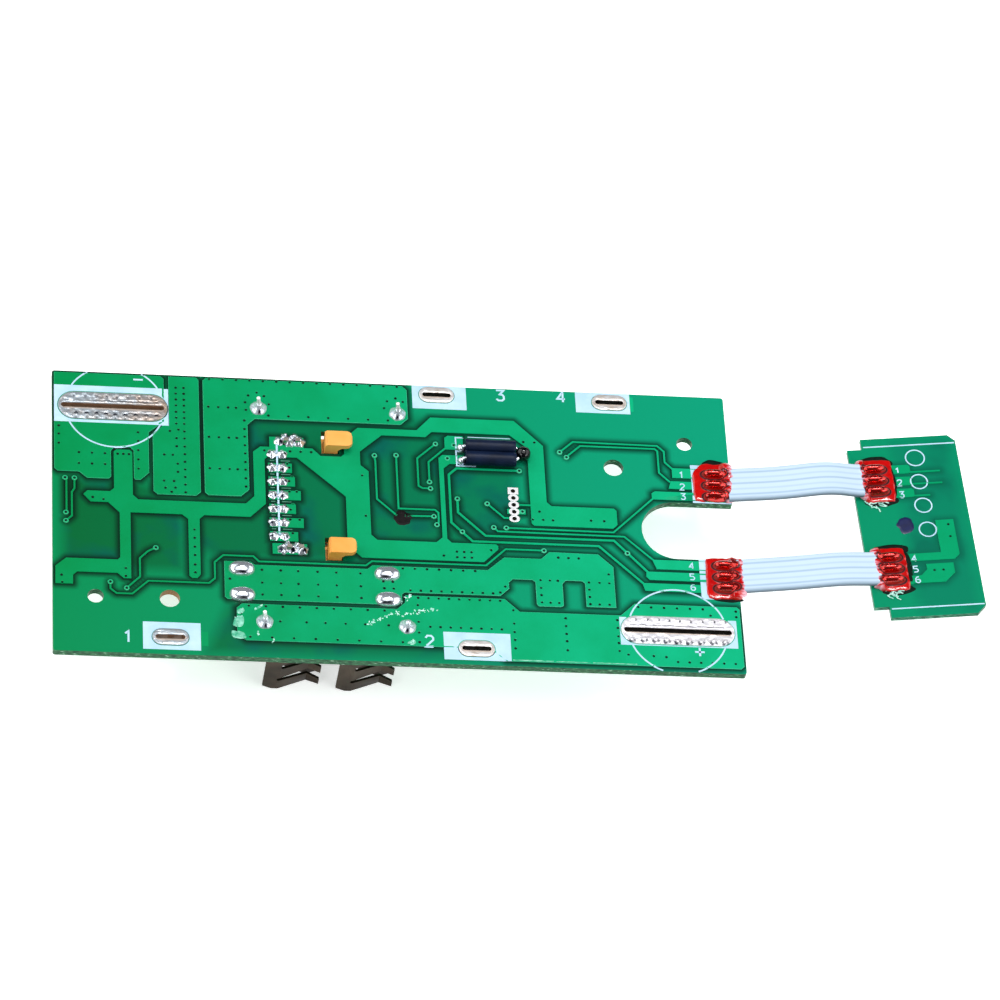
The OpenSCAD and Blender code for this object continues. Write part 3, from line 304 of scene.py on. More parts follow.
# shrunk polyolefin sleeve, blue-black with a faint sheen
sleeveSkin = grained("shrunkSleeve", ("08142A", "0C1C38"), 2, 0.25, 0.00002, Roughness=0.42,
                     Specular_IOR_Level=0.2)
# dipped epoxy, black and wet-looking
beadEpoxy = grained("dippedEpoxyBead", ("020306", "06080C"), 2, 1.2, 0.00002, Roughness=0.08)
sealantRed = redLacquer("redLacquer")
# the shaded barrel of a plated hole: a soft green-black dot
viaDark = grained("platedHoleInShade", ("031410", "06201A"), 0.5, 0.2, 0.00001, Roughness=0.7,
                  Specular_IOR_Level=0.1)
# spirit marker ink: a flat brown-black blot, and a violet-blue one with a slight gloss
markerInk = grained("blackMarkerInk", ("060405", "140D0E"), 0.6, 0.3, 0.00002, Roughness=0.5,
                    Specular_IOR_Level=0.15)
markerBlue = grained("markerInkBlue", ("07113F", "0B1A52"), 0.9, 0.4, 0.00002, Roughness=0.35)
# rosin flux left by hand soldering: burnt dark round the leads, and dried in pale films and
# chalky white flecks
fluxDark = grained("burntFlux", ("04120C", "0A1E16"), 0.7, 0.4, 0.00005, Roughness=0.6,
                   Specular_IOR_Level=0.1)
fluxPale = grained("driedFluxOverMask", ("2CA47C", "9ADFC8"), 0.9, 0.3, 0.00005,
                   Roughness=0.35)
fluxWhite = grained("driedFluxWhite", ("86D2BE", "DCFFF6"), 0.5, 0.2, 0.00004, Roughness=0.4)
# moulded epoxy chip bodies, matt charcoal; fired ceramic, tan brown; glazed resistor, black gloss
chipEpoxy = grained("mouldedChipEpoxy", ("141415", "1E1E20"), 2.5, 0.12, 0.00001, Roughness=0.55)
chipCeramic = grained("firedChipCeramic", ("6E563D", "8C6F50"), 1.2, 0.1, 0.00001,
                      Roughness=0.5)
chipResist = grained("glazedResistor", ("101114", "1B1C21"), 1.2, 0.1, 0.00001, Roughness=0.3)
# rolled manganin strip, a dull grey-brown metal
shuntMetal = grained("shuntStrip", ("4A4744", "5C5854"), 1.5, 0.15, 0.00001, Metallic=0.7,
                     Roughness=0.4)
# translucent lamp epoxy, creamy with light soaking in
lampBody = grained("lampHousing", ("E4E2D6", "F1EFE4"), 1.5, 0.2, 0.00001, Roughness=0.35,
                   Subsurface_Weight=0.1, Subsurface_Scale=0.0004)
# moulded nylon, matt black, under stamped steel, bright with a fine grain
switchPlastic = grained("switchNylon", ("101010", "191919"), 1.5, 0.15, 0.00001, Roughness=0.5)
switchSteel = grained("stampedSteel", ("B4B4B2", "C8C8C6"), 2.0, 0.1, 0.00001, Metallic=1.0,
                      Roughness=0.3)
jacket = leadJacket("leadJacketPvc")
print("materials made")


def cadCopy(name, place):   # the part's own solid in millimetres, merged, flats whole again
    shape = bmesh.new()
    shape.from_mesh(nodes[name].data)
    shape.transform(place.inverted())
    bmesh.ops.remove_doubles(shape, verts=shape.verts[:], dist=0.0005)
    bmesh.ops.dissolve_limit(shape, angle_limit=math.radians(0.8), verts=shape.verts[:],
                             edges=shape.edges[:])
    return shape


def meshOf(name, shape, finishes=(), sharp=35):
    mesh = bpy.data.meshes.new(name)
    shape.to_mesh(mesh)
    shape.free()
    for finish in finishes:
        mesh.materials.append(finish)
    mesh.shade_smooth()
    mesh.set_sharp_from_angle(angle=math.radians(sharp))
    return mesh


def newObject(name, data):
    thing = bpy.data.objects.new(name, data)
    scene.collection.objects.link(thing)
    return thing


# Turns a piece's modifiers into plain mesh, puts it in its place, hangs it on the boards' body
# and hides the parts it stands for.
def settle(piece, place, stands):
    if piece.modifiers:
        raw = piece.data
        seen = piece.evaluated_get(bpy.context.evaluated_depsgraph_get())
        piece.data = bpy.data.meshes.new_from_object(seen)
        piece.modifiers.clear()
        bpy.data.meshes.remove(raw)
        piece.data.name = piece.name
    piece.data.transform(place)
    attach(piece, "boards")
    if stands:
        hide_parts(*stands)


def addPiece(name, shape, place, finishes, stands=(), steps=(), sharp=35):
    piece = newObject(name, meshOf(name, shape, finishes, sharp))
    for kind, values in steps:
        step = piece.modifiers.new(kind, kind)
        for key, value in values.items():
            setattr(step, key, value)
    settle(piece, place, stands)


def softEdges(width, segments=2, angle=30):
    return ("BEVEL", {"width": width, "segments": segments, "limit_method": "ANGLE",
                      "angle_limit": math.radians(angle), "harden_normals": True})


def joinRings(shape, rings):   # walls from each closed ring to the next; a ring may be one point
    for low, high in zip(rings, rings[1:]):
        for k in range(max(len(low), len(high))):
            corners = (low[k % len(low)], low[(k + 1) % len(low)],
                       high[(k + 1) % len(high)], high[k % len(high)])
            shape.faces.new([v for i, v in enumerate(corners) if v not in corners[:i]])


def lathe(profile, sides, folds=0.0, foldCount=7):   # folds are a share of the radius
    shape, rings = bmesh.new(), []
    for r, z in profile:
        ring = []
        for k in range(sides if r else 1):
            a = 2 * math.pi * k / sides
            wide = r * (1 + folds * math.sin(foldCount * a + 3 * z))
            ring.append(shape.verts.new((wide * math.cos(a), wide * math.sin(a), z)))
        rings.append(ring)
    joinRings(shape, rings)
    for ring in (rings[0], rings[-1]):
        if len(ring) > 2:
            shape.faces.new(ring)
    bmesh.ops.recalc_face_normals(shape, faces=shape.faces[:])
    return shape


def obround(centre, length, width, sides=16):
    half, r = (length - width) / 2, width / 2
    turn = [math.pi * k / sides - math.pi / 2 for k in range(sides + 1)]
    right = [(centre[0] + half + r * math.cos(a), centre[1] + r * math.sin(a)) for a in turn]
    left = [(centre[0] - half - r * math.cos(a), centre[1] - r * math.sin(a)) for a in turn]
    return right + left


def rectangle(x0, y0, x1, y1):
    return [(x0, y0), (x1, y0), (x1, y1), (x0, y1)]


def surfaceOf(place, names):   # what lies on a board, for laying ink and flux on it
    points, faces = [], []
    for name in names:
        mesh = nodes[name].data
        start = len(points)
        points += [place.inverted() @ v.co for v in mesh.vertices]
        faces += [[start + i for i in p.vertices] for p in mesh.polygons]
    return BVHTree.FromPolygons(points, faces)


coppers = ["battery_minus_copper", "shunt_copper", "minus_copper", "ground_copper",
           "charge_copper", "plus_copper", "signal_copper"]
mainSurface = surfaceOf(mainPlace, ["main_board"] + coppers + [
    "minus_strip_land", "plus_strip_land", "tap_strip_lands", "test_lands"])
displaySurface = surfaceOf(displayPlace, ["display_board", "display_copper"])
mainBoard, displayBoard = (mainPlace, mainSurface), (displayPlace, displaySurface)


def heightAt(surface, x, y):
    hit = surface.ray_cast(Vector((x, y, 4)), Vector((0, 0, -1)))
    return hit[0].z if hit[0] and hit[0].z > -0.05 else 0.0


def layDown(shape, surface, lift):   # drops a flat shape onto what is under each point
    for v in shape.verts:
        v.co.z += heightAt(surface, v.co.x, v.co.y) + lift


def resampled(path, step):
    points = [Vector(path[0])]
    for a, b in zip(path, path[1:]):
        a, b = Vector(a), Vector(b)
        count = max(1, math.ceil((b - a).length / step))
        points += [a.lerp(b, k / count) for k in range(1, count + 1)]
    return points


def addStrip(shape, path, width, step=0.3, keep=None):   # a flat line along a path
    points = resampled(path, step)
    pairs = []
    for i, p in enumerate(points):
        before = (p - points[i - 1]).normalized() if i else None
        after = (points[i + 1] - p).normalized() if i < len(points) - 1 else None
        along = ((before or after) + (after or before)).normalized()
        stretch = 1 / max(0.5, along.dot(before or after))
        aside = Vector((-along.y, along.x)) * width / 2 * stretch
        pairs.append([shape.verts.new((*(p + aside), 0)), shape.verts.new((*(p - aside), 0))])
    for i, ((a, b), (c, d)) in enumerate(zip(pairs, pairs[1:])):
        if keep is None or keep((points[i] + points[i + 1]) / 2):
            shape.faces.new((a, b, d, c))


def cutInCells(shape, ends, cell, shift, reach):   # cuts across both ways, so that it can bend
    for axis, (low, high) in enumerate(ends):
        for k in range(1, math.ceil((high - low) / cell)):
            spot, normal = Vector((0, 0, 0)), Vector((1 - axis, axis, 0))
            spot[axis] = low + k * cell + shift
            bmesh.ops.bisect_plane(shape, geom=shape.verts[:] + shape.edges[:]
                                   + shape.faces[:], dist=reach, plane_co=spot,
                                   plane_no=normal)


def addSheet(shape, loops, cell=0.6):   # a flat area, the first loop outside, then its holes
    area = bmesh.new()
    rings = [[Vector((x, y, 0)) for x, y in loop] for loop in loops]
    corners = [area.verts.new(p) for ring in rings for p in ring]
    for triangle in tessellate_polygon(rings):
        area.faces.new([corners[i] for i in triangle])
    ends = [(min(along), max(along)) for along in zip(*loops[0])]
    cutInCells(area, ends, cell, 0.0, 1e-5)
    for face in area.faces:
        if face.normal.z < 0:
            face.normal_flip()
    mesh = bpy.data.meshes.new("area")
    area.to_mesh(mesh)
    area.free()
    shape.from_mesh(mesh)
    bpy.data.meshes.remove(mesh)


def skinThick(shape, thickness):   # gives laid-down sheets a real thickness
    loose = [v for v in shape.verts if not v.link_faces]
    bmesh.ops.delete(shape, geom=loose, context="VERTS")
    for face in shape.faces:
        face.normal_update()
        if face.normal.z < 0:
            face.normal_flip()
    bmesh.ops.solidify(shape, geom=shape.faces[:], thickness=thickness)
    bmesh.ops.recalc_face_normals(shape, faces=shape.faces[:])


def addLaid(name, shape, onto, finish, thickness, lift=None, sharp=60):
    place, surface = onto
    layDown(shape, surface, thickness if lift is None else lift)
    skinThick(shape, thickness)
    addPiece(name, shape, place, [finish], sharp=sharp)


def scatterTree():   # sets one shape on every point, each a little different in size and turn
    tree = bpy.data.node_groups.new("setShapesOnPoints", "GeometryNodeTree")
    for name, kind in (("Points", "Geometry"), ("Shape", "Object"), ("Size", "Float"),
                       ("Size spread", "Float"), ("Turn spread", "Float"), ("Seed", "Int"),
                       ("Finish", "Material")):
        tree.interface.new_socket(name, in_out="INPUT", socket_type="NodeSocket" + kind)
    tree.interface.new_socket("Pieces", in_out="OUTPUT", socket_type="NodeSocketGeometry")
    source = addNode(tree, "NodeGroupInput").outputs
    shape = addNode(tree, "GeometryNodeObjectInfo", inputs={"Object": source["Shape"]})
    small, large = [addNode(tree, "ShaderNodeMath", {"operation": way},
                            {0: 1.0, 1: source["Size spread"]}).outputs[0]
                    for way in ("SUBTRACT", "ADD")]
    share = addNode(tree, "FunctionNodeRandomValue", {"data_type": "FLOAT"},
                    {2: small, 3: large, "Seed": source["Seed"]})
    size = addNode(tree, "ShaderNodeMath", {"operation": "MULTIPLY"},
                   {0: share.outputs[1], 1: source["Size"]})
    turn = addNode(tree, "FunctionNodeRandomValue", {"data_type": "FLOAT"},
                   {2: 0.0, 3: source["Turn spread"], "Seed": source["Seed"]})
    spin = addNode(tree, "ShaderNodeCombineXYZ", inputs={"Z": turn.outputs[1]})
    laid = addNode(tree, "GeometryNodeInstanceOnPoints", inputs={
        "Points": source["Points"], "Instance": shape.outputs["Geometry"],
        "Rotation": spin.outputs[0], "Scale": size.outputs[0]})
    real = addNode(tree, "GeometryNodeRealizeInstances", inputs={"Geometry": laid.outputs[0]})
    painted = addNode(tree, "GeometryNodeSetMaterial", inputs={
        "Geometry": real.outputs[0], "Material": source["Finish"]})
    addNode(tree, "NodeGroupOutput", inputs={"Pieces": painted.outputs[0]})
    return tree


scattering = scatterTree()


def scatter(name, points, shape, finish, place, slotName, stands=(), sharp=40, **sizes):
    form = meshOf(name + "Form", shape, sharp=sharp)
    model = newObject(name + "Form", form)
    cloud = bpy.data.meshes.new(name)
    cloud.from_pydata(points, [], [])
    piece = newObject(name, cloud)
    step = piece.modifiers.new("Scatter", "NODES")
    step.node_group = scattering
    wanted = {"Shape": model, "Size": 1.0, "Size spread": 0.0, "Turn spread": 0.0, "Seed": 1,
              "Finish": finish, **sizes}
    for item in scattering.interface.items_tree:
        if item.name in wanted:
            step[item.identifier] = wanted[item.name]
    settle(piece, place, stands)
    bpy.data.objects.remove(model)
    bpy.data.meshes.remove(form)


# widths of the mask's slope at a copper edge, of the laminate's cells and how far they are
# shifted to miss its corners, of the painted shade by copper, and of the far copper's soft edge
maskForm = {"edgeWidth": 0.075, "cell": 0.36, "shift": 0.013, "shade": 0.95, "farEdge": 2.4}
# copper on the other face, drawn as plain areas
farCopper = {
    "ground": [(23.5, 17.5), (46, 17.5), (50, 21), (66, 21), (70, 24), (70, 38), (62, 44.5),
               (24, 44.5), (21, 41), (21, 20)],
    "leftRail": [(1.5, 14.8), (19.5, 14.8), (19.5, 27.5), (12.5, 31), (1.5, 31)],
    "frontStrip": [(22.5, 0.5), (98, 0.5), (98, 3.0), (84, 3.0), (80, 9.5), (26, 9.5)],
    "display": rectangle(7, 0.6, 16, 32)}


def inside(point, loop):   # whether a point is in a closed outline
    within = False
    for (x0, y0), (x1, y1) in zip(loop, loop[1:] + loop[:1]):
        if (y0 > point.y) != (y1 > point.y):
            within ^= point.x < (x1 - x0) * (point.y - y0) / (y1 - y0) + x0
    return within


def edgeDistance(point, loop):   # how far a point is from a closed outline
    best = 99.0
    for a, b in zip(loop, loop[1:] + loop[:1]):
        a, b = Vector(a), Vector(b)
        share = max(0.0, min(1.0, (point - a).dot(b - a) / (b - a).length_squared))
        best = min(best, (point - a.lerp(b, share)).length)
    return best


# Mask over one area of copper, sloped and thinner at its edges, where it shows lighter, partly
# as painted highlight.
def maskOverCopper(name, stands, place, finish):
    shape = cadCopy(stands, place)
    rims = [e for e in shape.edges if len(e.link_faces) == 2
            and sorted(round(f.normal.z) for f in e.link_faces) == [0, 1]]
    bmesh.ops.bevel(shape, geom=rims, offset=maskForm["edgeWidth"], segments=2, profile=0.5,
                    affect="EDGES", clamp_overlap=True, material=1)
    addPiece(name, shape, place, [finish, edgeMaskAndHighlight], stands=[stands],
             sharp=8)


# A bare board, cut in small cells so that its points can hold the painted shade near copper on
# this face, where copper on the far face shows through, and which walls were bored.
def laminateBoard(name, stands, place, finish, copperNames, patches, holes):
    shape = cadCopy(stands, place)
    ends = [(min(along), max(along)) for along in zip(*(v.co.xy for v in shape.verts))]
    cutInCells(shape, ends, maskForm["cell"], maskForm["shift"], 1e-4)
    metal = surfaceOf(place, copperNames)
    near = shape.verts.layers.float.new("nearCopper")
    far = shape.verts.layers.float.new("farCopper")
    bored = shape.verts.layers.float.new("bored")
    for v in shape.verts:
        v[bored] = any((v.co.xy - Vector(spot)).length < r + 0.1 for *spot, r in holes)
        if v.co.z < -0.01:
            continue
        reach = metal.find_nearest(Vector((v.co.x, v.co.y, 0.0)))[3]
        # painted shade: full at a copper edge, gone about a millimetre away
        v[near] = max(0.0, min(1.0, 1.12 - reach / maskForm["shade"]))
        flat = Vector((v.co.x, v.co.y))
        for loop in patches:
            away = edgeDistance(flat, loop) * (-1 if inside(flat, loop) else 1)
            v[far] = max(v[far], max(0.0, min(1.0, 0.5 - away / maskForm["farEdge"])))
    addPiece(name, shape, place, [finish], stands=[stands], sharp=30)


for name in coppers:
    maskOverCopper(name.replace("_copper", "Mask").replace("_", ""), name, mainPlace, copperMask)
maskOverCopper("displayMask", "display_copper", displayPlace, displayCopper)
boredHoles = [(5.6, 12.5, 1.2), (17.25, 9.85, 1.5), (83.4, 33.0, 1.5), (94.05, 38.7, 1.2)]
laminateBoard("mainLaminate", "main_board", mainPlace, laminate, coppers,
              [farCopper[key] for key in ("ground", "leftRail", "frontStrip")], boredHoles)
laminateBoard("displayLaminate", "display_board", displayPlace, displayLaminate,
              ["display_copper"], [farCopper["display"]], [])
print("masked copper and laminate made")


digitStrokes = {
    "1": [[(0.1, 0.78), (0.35, 1), (0.35, 0)]],
    "2": [[(0, 0.8), (0.15, 1), (0.45, 1), (0.6, 0.82), (0.6, 0.62), (0, 0), (0.6, 0)]],
    "3": [[(0, 1), (0.6, 1), (0.28, 0.6), (0.5, 0.56), (0.6, 0.4), (0.6, 0.15), (0.45, 0),
           (0.15, 0), (0, 0.15)]],
    "4": [[(0.45, 0), (0.45, 1), (0, 0.3), (0.62, 0.3)]],
    "5": [[(0.6, 1), (0, 1), (0, 0.58), (0.42, 0.58), (0.6, 0.4), (0.6, 0.16), (0.42, 0),
           (0, 0)]],
    "6": [[(0.5, 1), (0.2, 0.95), (0, 0.66), (0, 0.16), (0.15, 0), (0.45, 0), (0.6, 0.16),
           (0.6, 0.4), (0.45, 0.55), (0, 0.5)]],
    "+": [[(0, 0.5), (0.8, 0.5)], [(0.4, 0.1), (0.4, 0.9)]],
    "-": [[(0, 0.5), (0.8, 0.5)]]}
printThick = 0.02
sign, large, small = (1.8, 0.3), (1.9, 0.3), (1.05, 0.18)   # height and stroke width of a mark

mainPrint = {   # a line is its path and width, a ring its middle, radius and the block it misses
    "blocks": [   # white block round each strip land: outline, then the land it leaves bare
        (rectangle(0.3, 41.2, 17.55, 48.0), obround((9.15, 44.3), 16.75, 5.25)),
        (rectangle(13.2, 0.8, 21.7, 5.6), obround((17.25, 3.0), 5.6, 3.0)),
        (rectangle(57.7, 0.8, 67.7, 5.6), obround((62.6, 2.85), 5.6, 3.0)),
        (rectangle(54.8, 46.4, 63.1, 50.65), obround((58.55, 49.0), 5.6, 3.0)),
        (rectangle(80.0, 46.9, 88.4, 50.65), obround((85.2, 48.9), 5.6, 3.0)),
        (rectangle(97.0, 30.8, 102.9, 37.8), None), (rectangle(97.1, 13.2, 102.9, 20.4), None)],
    "corners": ((84.3, 4.45, 102.0, 9.4), (93.05, 7.2), 17.4, 5.24),
    "rings": [((9.42, 44.29), 7.47, rectangle(0.3, 41.2, 17.55, 48.0)),
              ((93.04, 7.14), 7.47, rectangle(84.3, 4.45, 102.0, 9.7))],
    "ringWidth": 0.25, "ringStep": 3,
    "lines": [([(33.8, 22.0), (33.8, 39.2)], 0.28),
              ([(62.3, 41.1), (61.1, 41.1), (61.1, 35.95), (63.9, 35.95), (63.9, 36.35)], 0.22),
              ([(63.0, 41.35), (69.5, 41.35)], 0.12)],
    "marks": [("-", 12.3, 48.6, sign), ("+", 95.4, 2.7, sign), ("1", 10.4, 1.9, large),
              ("2", 55.0, 2.9, large), ("3", 67.8, 48.5, large), ("4", 77.2, 48.7, large),
              ("1", 95.2, 35.3, small), ("2", 95.2, 33.1, small), ("3", 95.2, 31.3, small),
              ("4", 95.6, 18.6, small), ("5", 95.6, 16.6, small), ("6", 95.6, 14.7, small)]}
displayPrint = {
    "lines": [([(2.6, 31.4), (16.8, 31.4)], 0.22), ([(2.6, 1.6), (16.8, 1.6)], 0.22),
              ([(0.9, 25.9), (0.9, 28.4)], 0.2)],
    "rings": [((10.3, 28.95), 1.45, None), ((10.25, 24.5), 1.3, None),
              ((10.25, 20.1), 1.3, None), ((10.25, 15.65), 1.3, None)],
    "ringWidth": 0.2, "ringStep": 9,
    "marks": [("1", 6.9, 26.1, small), ("2", 6.9, 23.9, small), ("3", 6.9, 21.7, small),
              ("4", 7.0, 9.9, small), ("5", 7.0, 8.0, small), ("6", 7.0, 6.0, small)]}


def circle(centre, r, step):
    count = round(360 / step)
    angles = [math.radians(360 * k / count) for k in range(count + 1)]
    return [(centre[0] + r * math.cos(a), centre[1] + r * math.sin(a)) for a in angles]


def addMarks(shape, marks):
    for text, x, y, (tall, wide) in marks:
        for stroke in digitStrokes[text]:
            addStrip(shape, [(x + u * tall, y + v * tall) for u, v in stroke], wide)


# The corners left of a block whose land reaches its sides, and the strip below that land.
def cornerPrint(shape, box, centre, length, width):
    x0, y0, x1, y1 = box
    r, half = width / 2, (length - width) / 2
    for sx, edge in ((-1, x0), (1, x1)):
        for sy, rim in ((-1, y0), (1, y1)):
            mid = centre[0] + sx * half
            bend = [(mid + sx * r * math.sin(a), centre[1] + sy * r * math.cos(a))
                    for a in [math.pi / 2 * k / 12 for k in range(13)]]
            bend = [p for p in bend if (p[1] - rim) * sy < 0 and (p[0] - edge) * sx < 0]
            addSheet(shape, [[(edge, rim)] + [(bend[0][0], rim)] + bend + [(edge, bend[-1][1])]])
    addSheet(shape, [rectangle(centre[0] - half, y0, centre[0] + half, centre[1] - r)])


def addPrint(name, layout, onto):
    shape = bmesh.new()
    for outline, bare in layout.get("blocks", ()):
        addSheet(shape, [outline] + ([bare] if bare else []))
    if "corners" in layout:
        cornerPrint(shape, *layout["corners"])
    for centre, r, block in layout["rings"]:   # a ring stops at its block and at the board's edge
        addStrip(shape, circle(centre, r, layout["ringStep"]), layout["ringWidth"],
                 keep=lambda p: 0.2 < p.y < board["width"] - 0.2
                 and not (block and inside(p, block)))
    for path, wide in layout["lines"]:
        addStrip(shape, path, wide)
    addMarks(shape, layout["marks"])
    addLaid(name, shape, onto, silkInk, printThick)


addPrint("mainPrint", mainPrint, mainBoard)
addPrint("displayPrint", displayPrint, displayBoard)
print("screen print made")


def row(y, start, end, count):
    return [(start + (end - start) * k / (count - 1), y) for k in range(count)]


def column(x, *ys):
    return [(x, y) for y in ys]


# a small hole's mouth, the soft rim round it, and the wider pad round a hole on a thin track
viaForm = {"hole": 0.2, "rim": 0.3, "rise": 0.012, "pad": 0.45, "padRise": 0.104}
copperVias = (
    column(18.7, 48.3, 47.2, 46.1, 45, 43.8, 42.7, 41.6) + column(19.9, 48.3, 47.2, 46.1, 45,
        43.8, 42.7, 41.6, 40.2, 38.9, 37.4, 36, 34.6, 33.2, 31.8, 30.4, 29)
    + [(19, 40.5), (17.7, 40.2), (18.7, 38.9), (18.7, 37.4), (16.8, 35.8), (18.1, 35.8),
       (18.8, 34.2), (18.8, 32.7), (16.7, 31), (18.2, 31), (16.9, 29.7), (18.4, 29.8),
       (17.8, 29)]
    + column(1, 40.4, 38.9, 37.2) + row(35.6, 4, 7.9, 3) + row(33.6, 4, 7.9, 3)
    + column(12.9, 39.7, 38.1, 36.4, 34.7, 33) + row(35.6, 9.8, 11.5, 3)
    + [(6, 27.5), (7.6, 27.2), (10.8, 14.9), (10.8, 13.5), (1.3, 13.3), (1.4, 12)]
    + column(21.1, 22.3, 20.8, 19.2, 17.7, 16, 14.6)
    + [(31.9, 37.3), (35.8, 37.3), (37.4, 37.3), (39, 37.3), (46.6, 33.4), (46.9, 26),
       (71.5, 40.8), (73.2, 40.8), (72.2, 26.5), (73.8, 26.5), (75.3, 26.5), (73.3, 28),
       (81.1, 26.7), (83.1, 26.7), (58.4, 19.3), (65.6, 20.6)]
    + row(20.1, 60.4, 62.6, 3) + row(19.1, 60.4, 62.6, 3)
    + row(50.2, 23.8, 52.5, 15) + row(43.8, 32.7, 50.9, 7)
    + column(29, 42.7, 41.1, 39.7, 38.1, 36.6, 35, 33.6, 32, 30.5)
    + [(x, y) for x in (23.6, 25.1, 26.6, 27.8) for y in (45, 39.4, 33.6)]
    + [(x + a, 45.1 + b) for x in (31.2, 52.4) for a, b in ((-0.2, 2.9), (-1.5, 2.3),
       (0.9, 2.3), (-2, 1), (1.6, 0.8), (-1.9, -0.4))][:-2]
    + [(x, y) for x in (31, 33.8, 36.4, 39.3, 42.1, 45.7) for y in (15.5, 13.2, 11.1)]
    + [(26.2, 13.7), (49.1, 14.2), (50.5, 14.2), (49.2, 13), (50.6, 13)]
    + row(16.7, 52.1, 63, 7) + row(12.8, 53.1, 65.5, 9) + [(66.6, 13), (67.4, 14.1)]
    + row(19.7, 75.7, 78.8, 3)
    + [(72.8, 15.5), (74.2, 15.5), (75.4, 15.5), (72.8, 14.1), (72.8, 12.8), (72.8, 11.5),
       (74.1, 11.5), (75.4, 11.5), (80.1, 15.4), (81.7, 15.4), (83.2, 15.4), (80.1, 14.1),
       (80.1, 12.8), (80.1, 11.5), (81.5, 11.5), (83, 11.5), (83.2, 17)]
    + row(9, 28.9, 49.1, 9) + [(x, 6.4) for x in (33.5, 37.4, 40.2, 43.2, 46.1, 49.6)]
    + row(3.5, 29, 51.6, 8) + [(27.7, 7.6)] + row(11.5, 54.2, 66.5, 9)
    + column(54.1, 10.2, 8.9, 7.2, 5.3, 3.6) + row(6.4, 55.8, 66.5, 8)
    + column(68.4, 9.9, 7.5, 6, 4.6, 3.1) + column(76.2, 8.8, 7.4, 6, 4.7, 3.1)
    + column(84, 8.8, 7.4, 5.9, 4.7, 3.3) + [(85.3, 2.7), (89.1, 2.6), (91, 2.5)]
    + row(1.7, 92.7, 101.4, 6) + row(11.3, 87.3, 97.1, 6) + [(98.2, 10.2), (102.1, 11.1),
                                                             (102.1, 10.1)]
    + [(35.3, 35), (35.6, 34.3), (36, 32.6), (35.5, 31.8), (35.5, 29.9), (36.6, 29.9),
       (36, 27.6), (35.6, 26.6), (35.5, 24.8), (36.9, 24.8), (35.8, 22.3)])
trackVias = [
    (1.9, 30.9), (3.3, 30.9), (2, 24.6), (2, 23.1), (15.3, 18.8), (10.9, 11.4), (8.5, 12.4),
    (48.6, 37.2), (51.9, 37.4), (58, 39.8), (56.9, 31.5), (56.8, 32.7), (57.2, 26.4),
    (57.6, 24.9), (60.9, 29.8), (65.4, 29.1), (61.4, 23.8), (66.2, 24.8), (68.1, 24.8),
    (70.6, 35.4), (73.6, 20.9), (77, 39.2), (78, 38.3), (86.3, 21), (70.7, 27.9),
    (60.8, 39.7), (59.7, 37.2)]
displayVias = [(13.5, 16.3), (13.5, 14.1), (10.1, 8.1), (11.5, 8.1)]


def seated(points, surface, lift=0.0):
    return [(x, y, heightAt(surface, x, y) + lift) for x, y in points]


def holeDot(r):   # the dark mouth of a plated hole, a shallow cap
    return lathe([(r, -0.02), (r, 0.006), (r * 0.6, 0.009), (0, 0.01)], 12)


rim, hole, rise, pad = [viaForm[key] for key in ("rim", "hole", "rise", "pad")]
viaRim = lathe([(rim, -0.02), (rim * 0.94, rise), (hole * 1.1, rise * 0.8), (hole, 0.002),
                (0, 0.001)], 12)
trackPad = lathe([(pad, -0.02), (pad * 0.92, 0.1), (pad * 0.75, 0.125), (hole * 1.1, 0.12),
                  (hole, 0.1), (0, 0.1)], 16)
scatter("viaRims", seated(copperVias, mainSurface), viaRim, copperMask, mainPlace,
        "masked_copper")
scatter("viaMouths", seated(copperVias, mainSurface, 0.003), holeDot(hole), viaDark,
        mainPlace, "masked_copper", **{"Size spread": 0.12, "Seed": 4})
# the pads round holes on thin tracks take the lighter edge green, partly painted highlight
scatter("trackPads", [(x, y, 0.0) for x, y in trackVias], trackPad, edgeMaskAndHighlight, mainPlace,
        "masked_copper")
scatter("trackMouths", [(x, y, viaForm["padRise"]) for x, y in trackVias],
        holeDot(hole), viaDark, mainPlace, "masked_copper")
scatter("displayVias", seated(displayVias, displaySurface, 0.002), holeDot(hole), viaDark,
        displayPlace, "masked_copper")
print("plated holes made")


# bumps: row height above the middle, first and last x, how many, radius, where its painted shade
# is
bigLands = {
    "minus": {"centre": (9.15, 44.3), "slot": (15.6, 0.78), "land": (16.5, 5.0), "puff": 0.17,
              "valleys": ((0.95, 0.16, 0.9, 1), (-1.25, 0.3, 0.7, 1)), "tanned": (4, 19),
              "bumps": ((1.95, 3.2, 14.8, 8, 0.38, (0.2, -0.95), 0.7, 0.7),
                        (-2.0, 3.6, 15.6, 9, 0.4, (0.0, 1.0), 0.85, 1.0))},
    "plus": {"centre": (93.05, 7.2), "slot": (16.3, 0.78), "land": (17.2, 5.0), "puff": 0.17,
             "valleys": ((0.85, 0.14, 1.0, 0),), "tanned": (80, 140),
             "bumps": ((1.75, 86.4, 99.9, 9, 0.36, (0.8, -0.1), 0.75, 1.0),
                       (-1.85, 86.0, 100.0, 9, 0.42, (-0.7, -0.6), 0.9, 0.95),
                       (-2.05, 86.35, 100.35, 9, 0.1, (0.0, 0.0), 2.6, 0.8))}}
tapLand = {"slot": (4.35, 0.74), "land": (5.4, 2.8), "puff": 0.1, "tanned": (0, 200)}
# how wide the tin's shoulder is at its outer and its slot edge, its lumps' share of its height,
# and a valley's half width, depth and share where it doesn't fade
tinForm = {"shoulder": 0.4, "lip": 0.3, "lumps": 0.35, "valley": 0.13, "sunk": 0.09,
           "share": 0.85, "tan": 0.45}


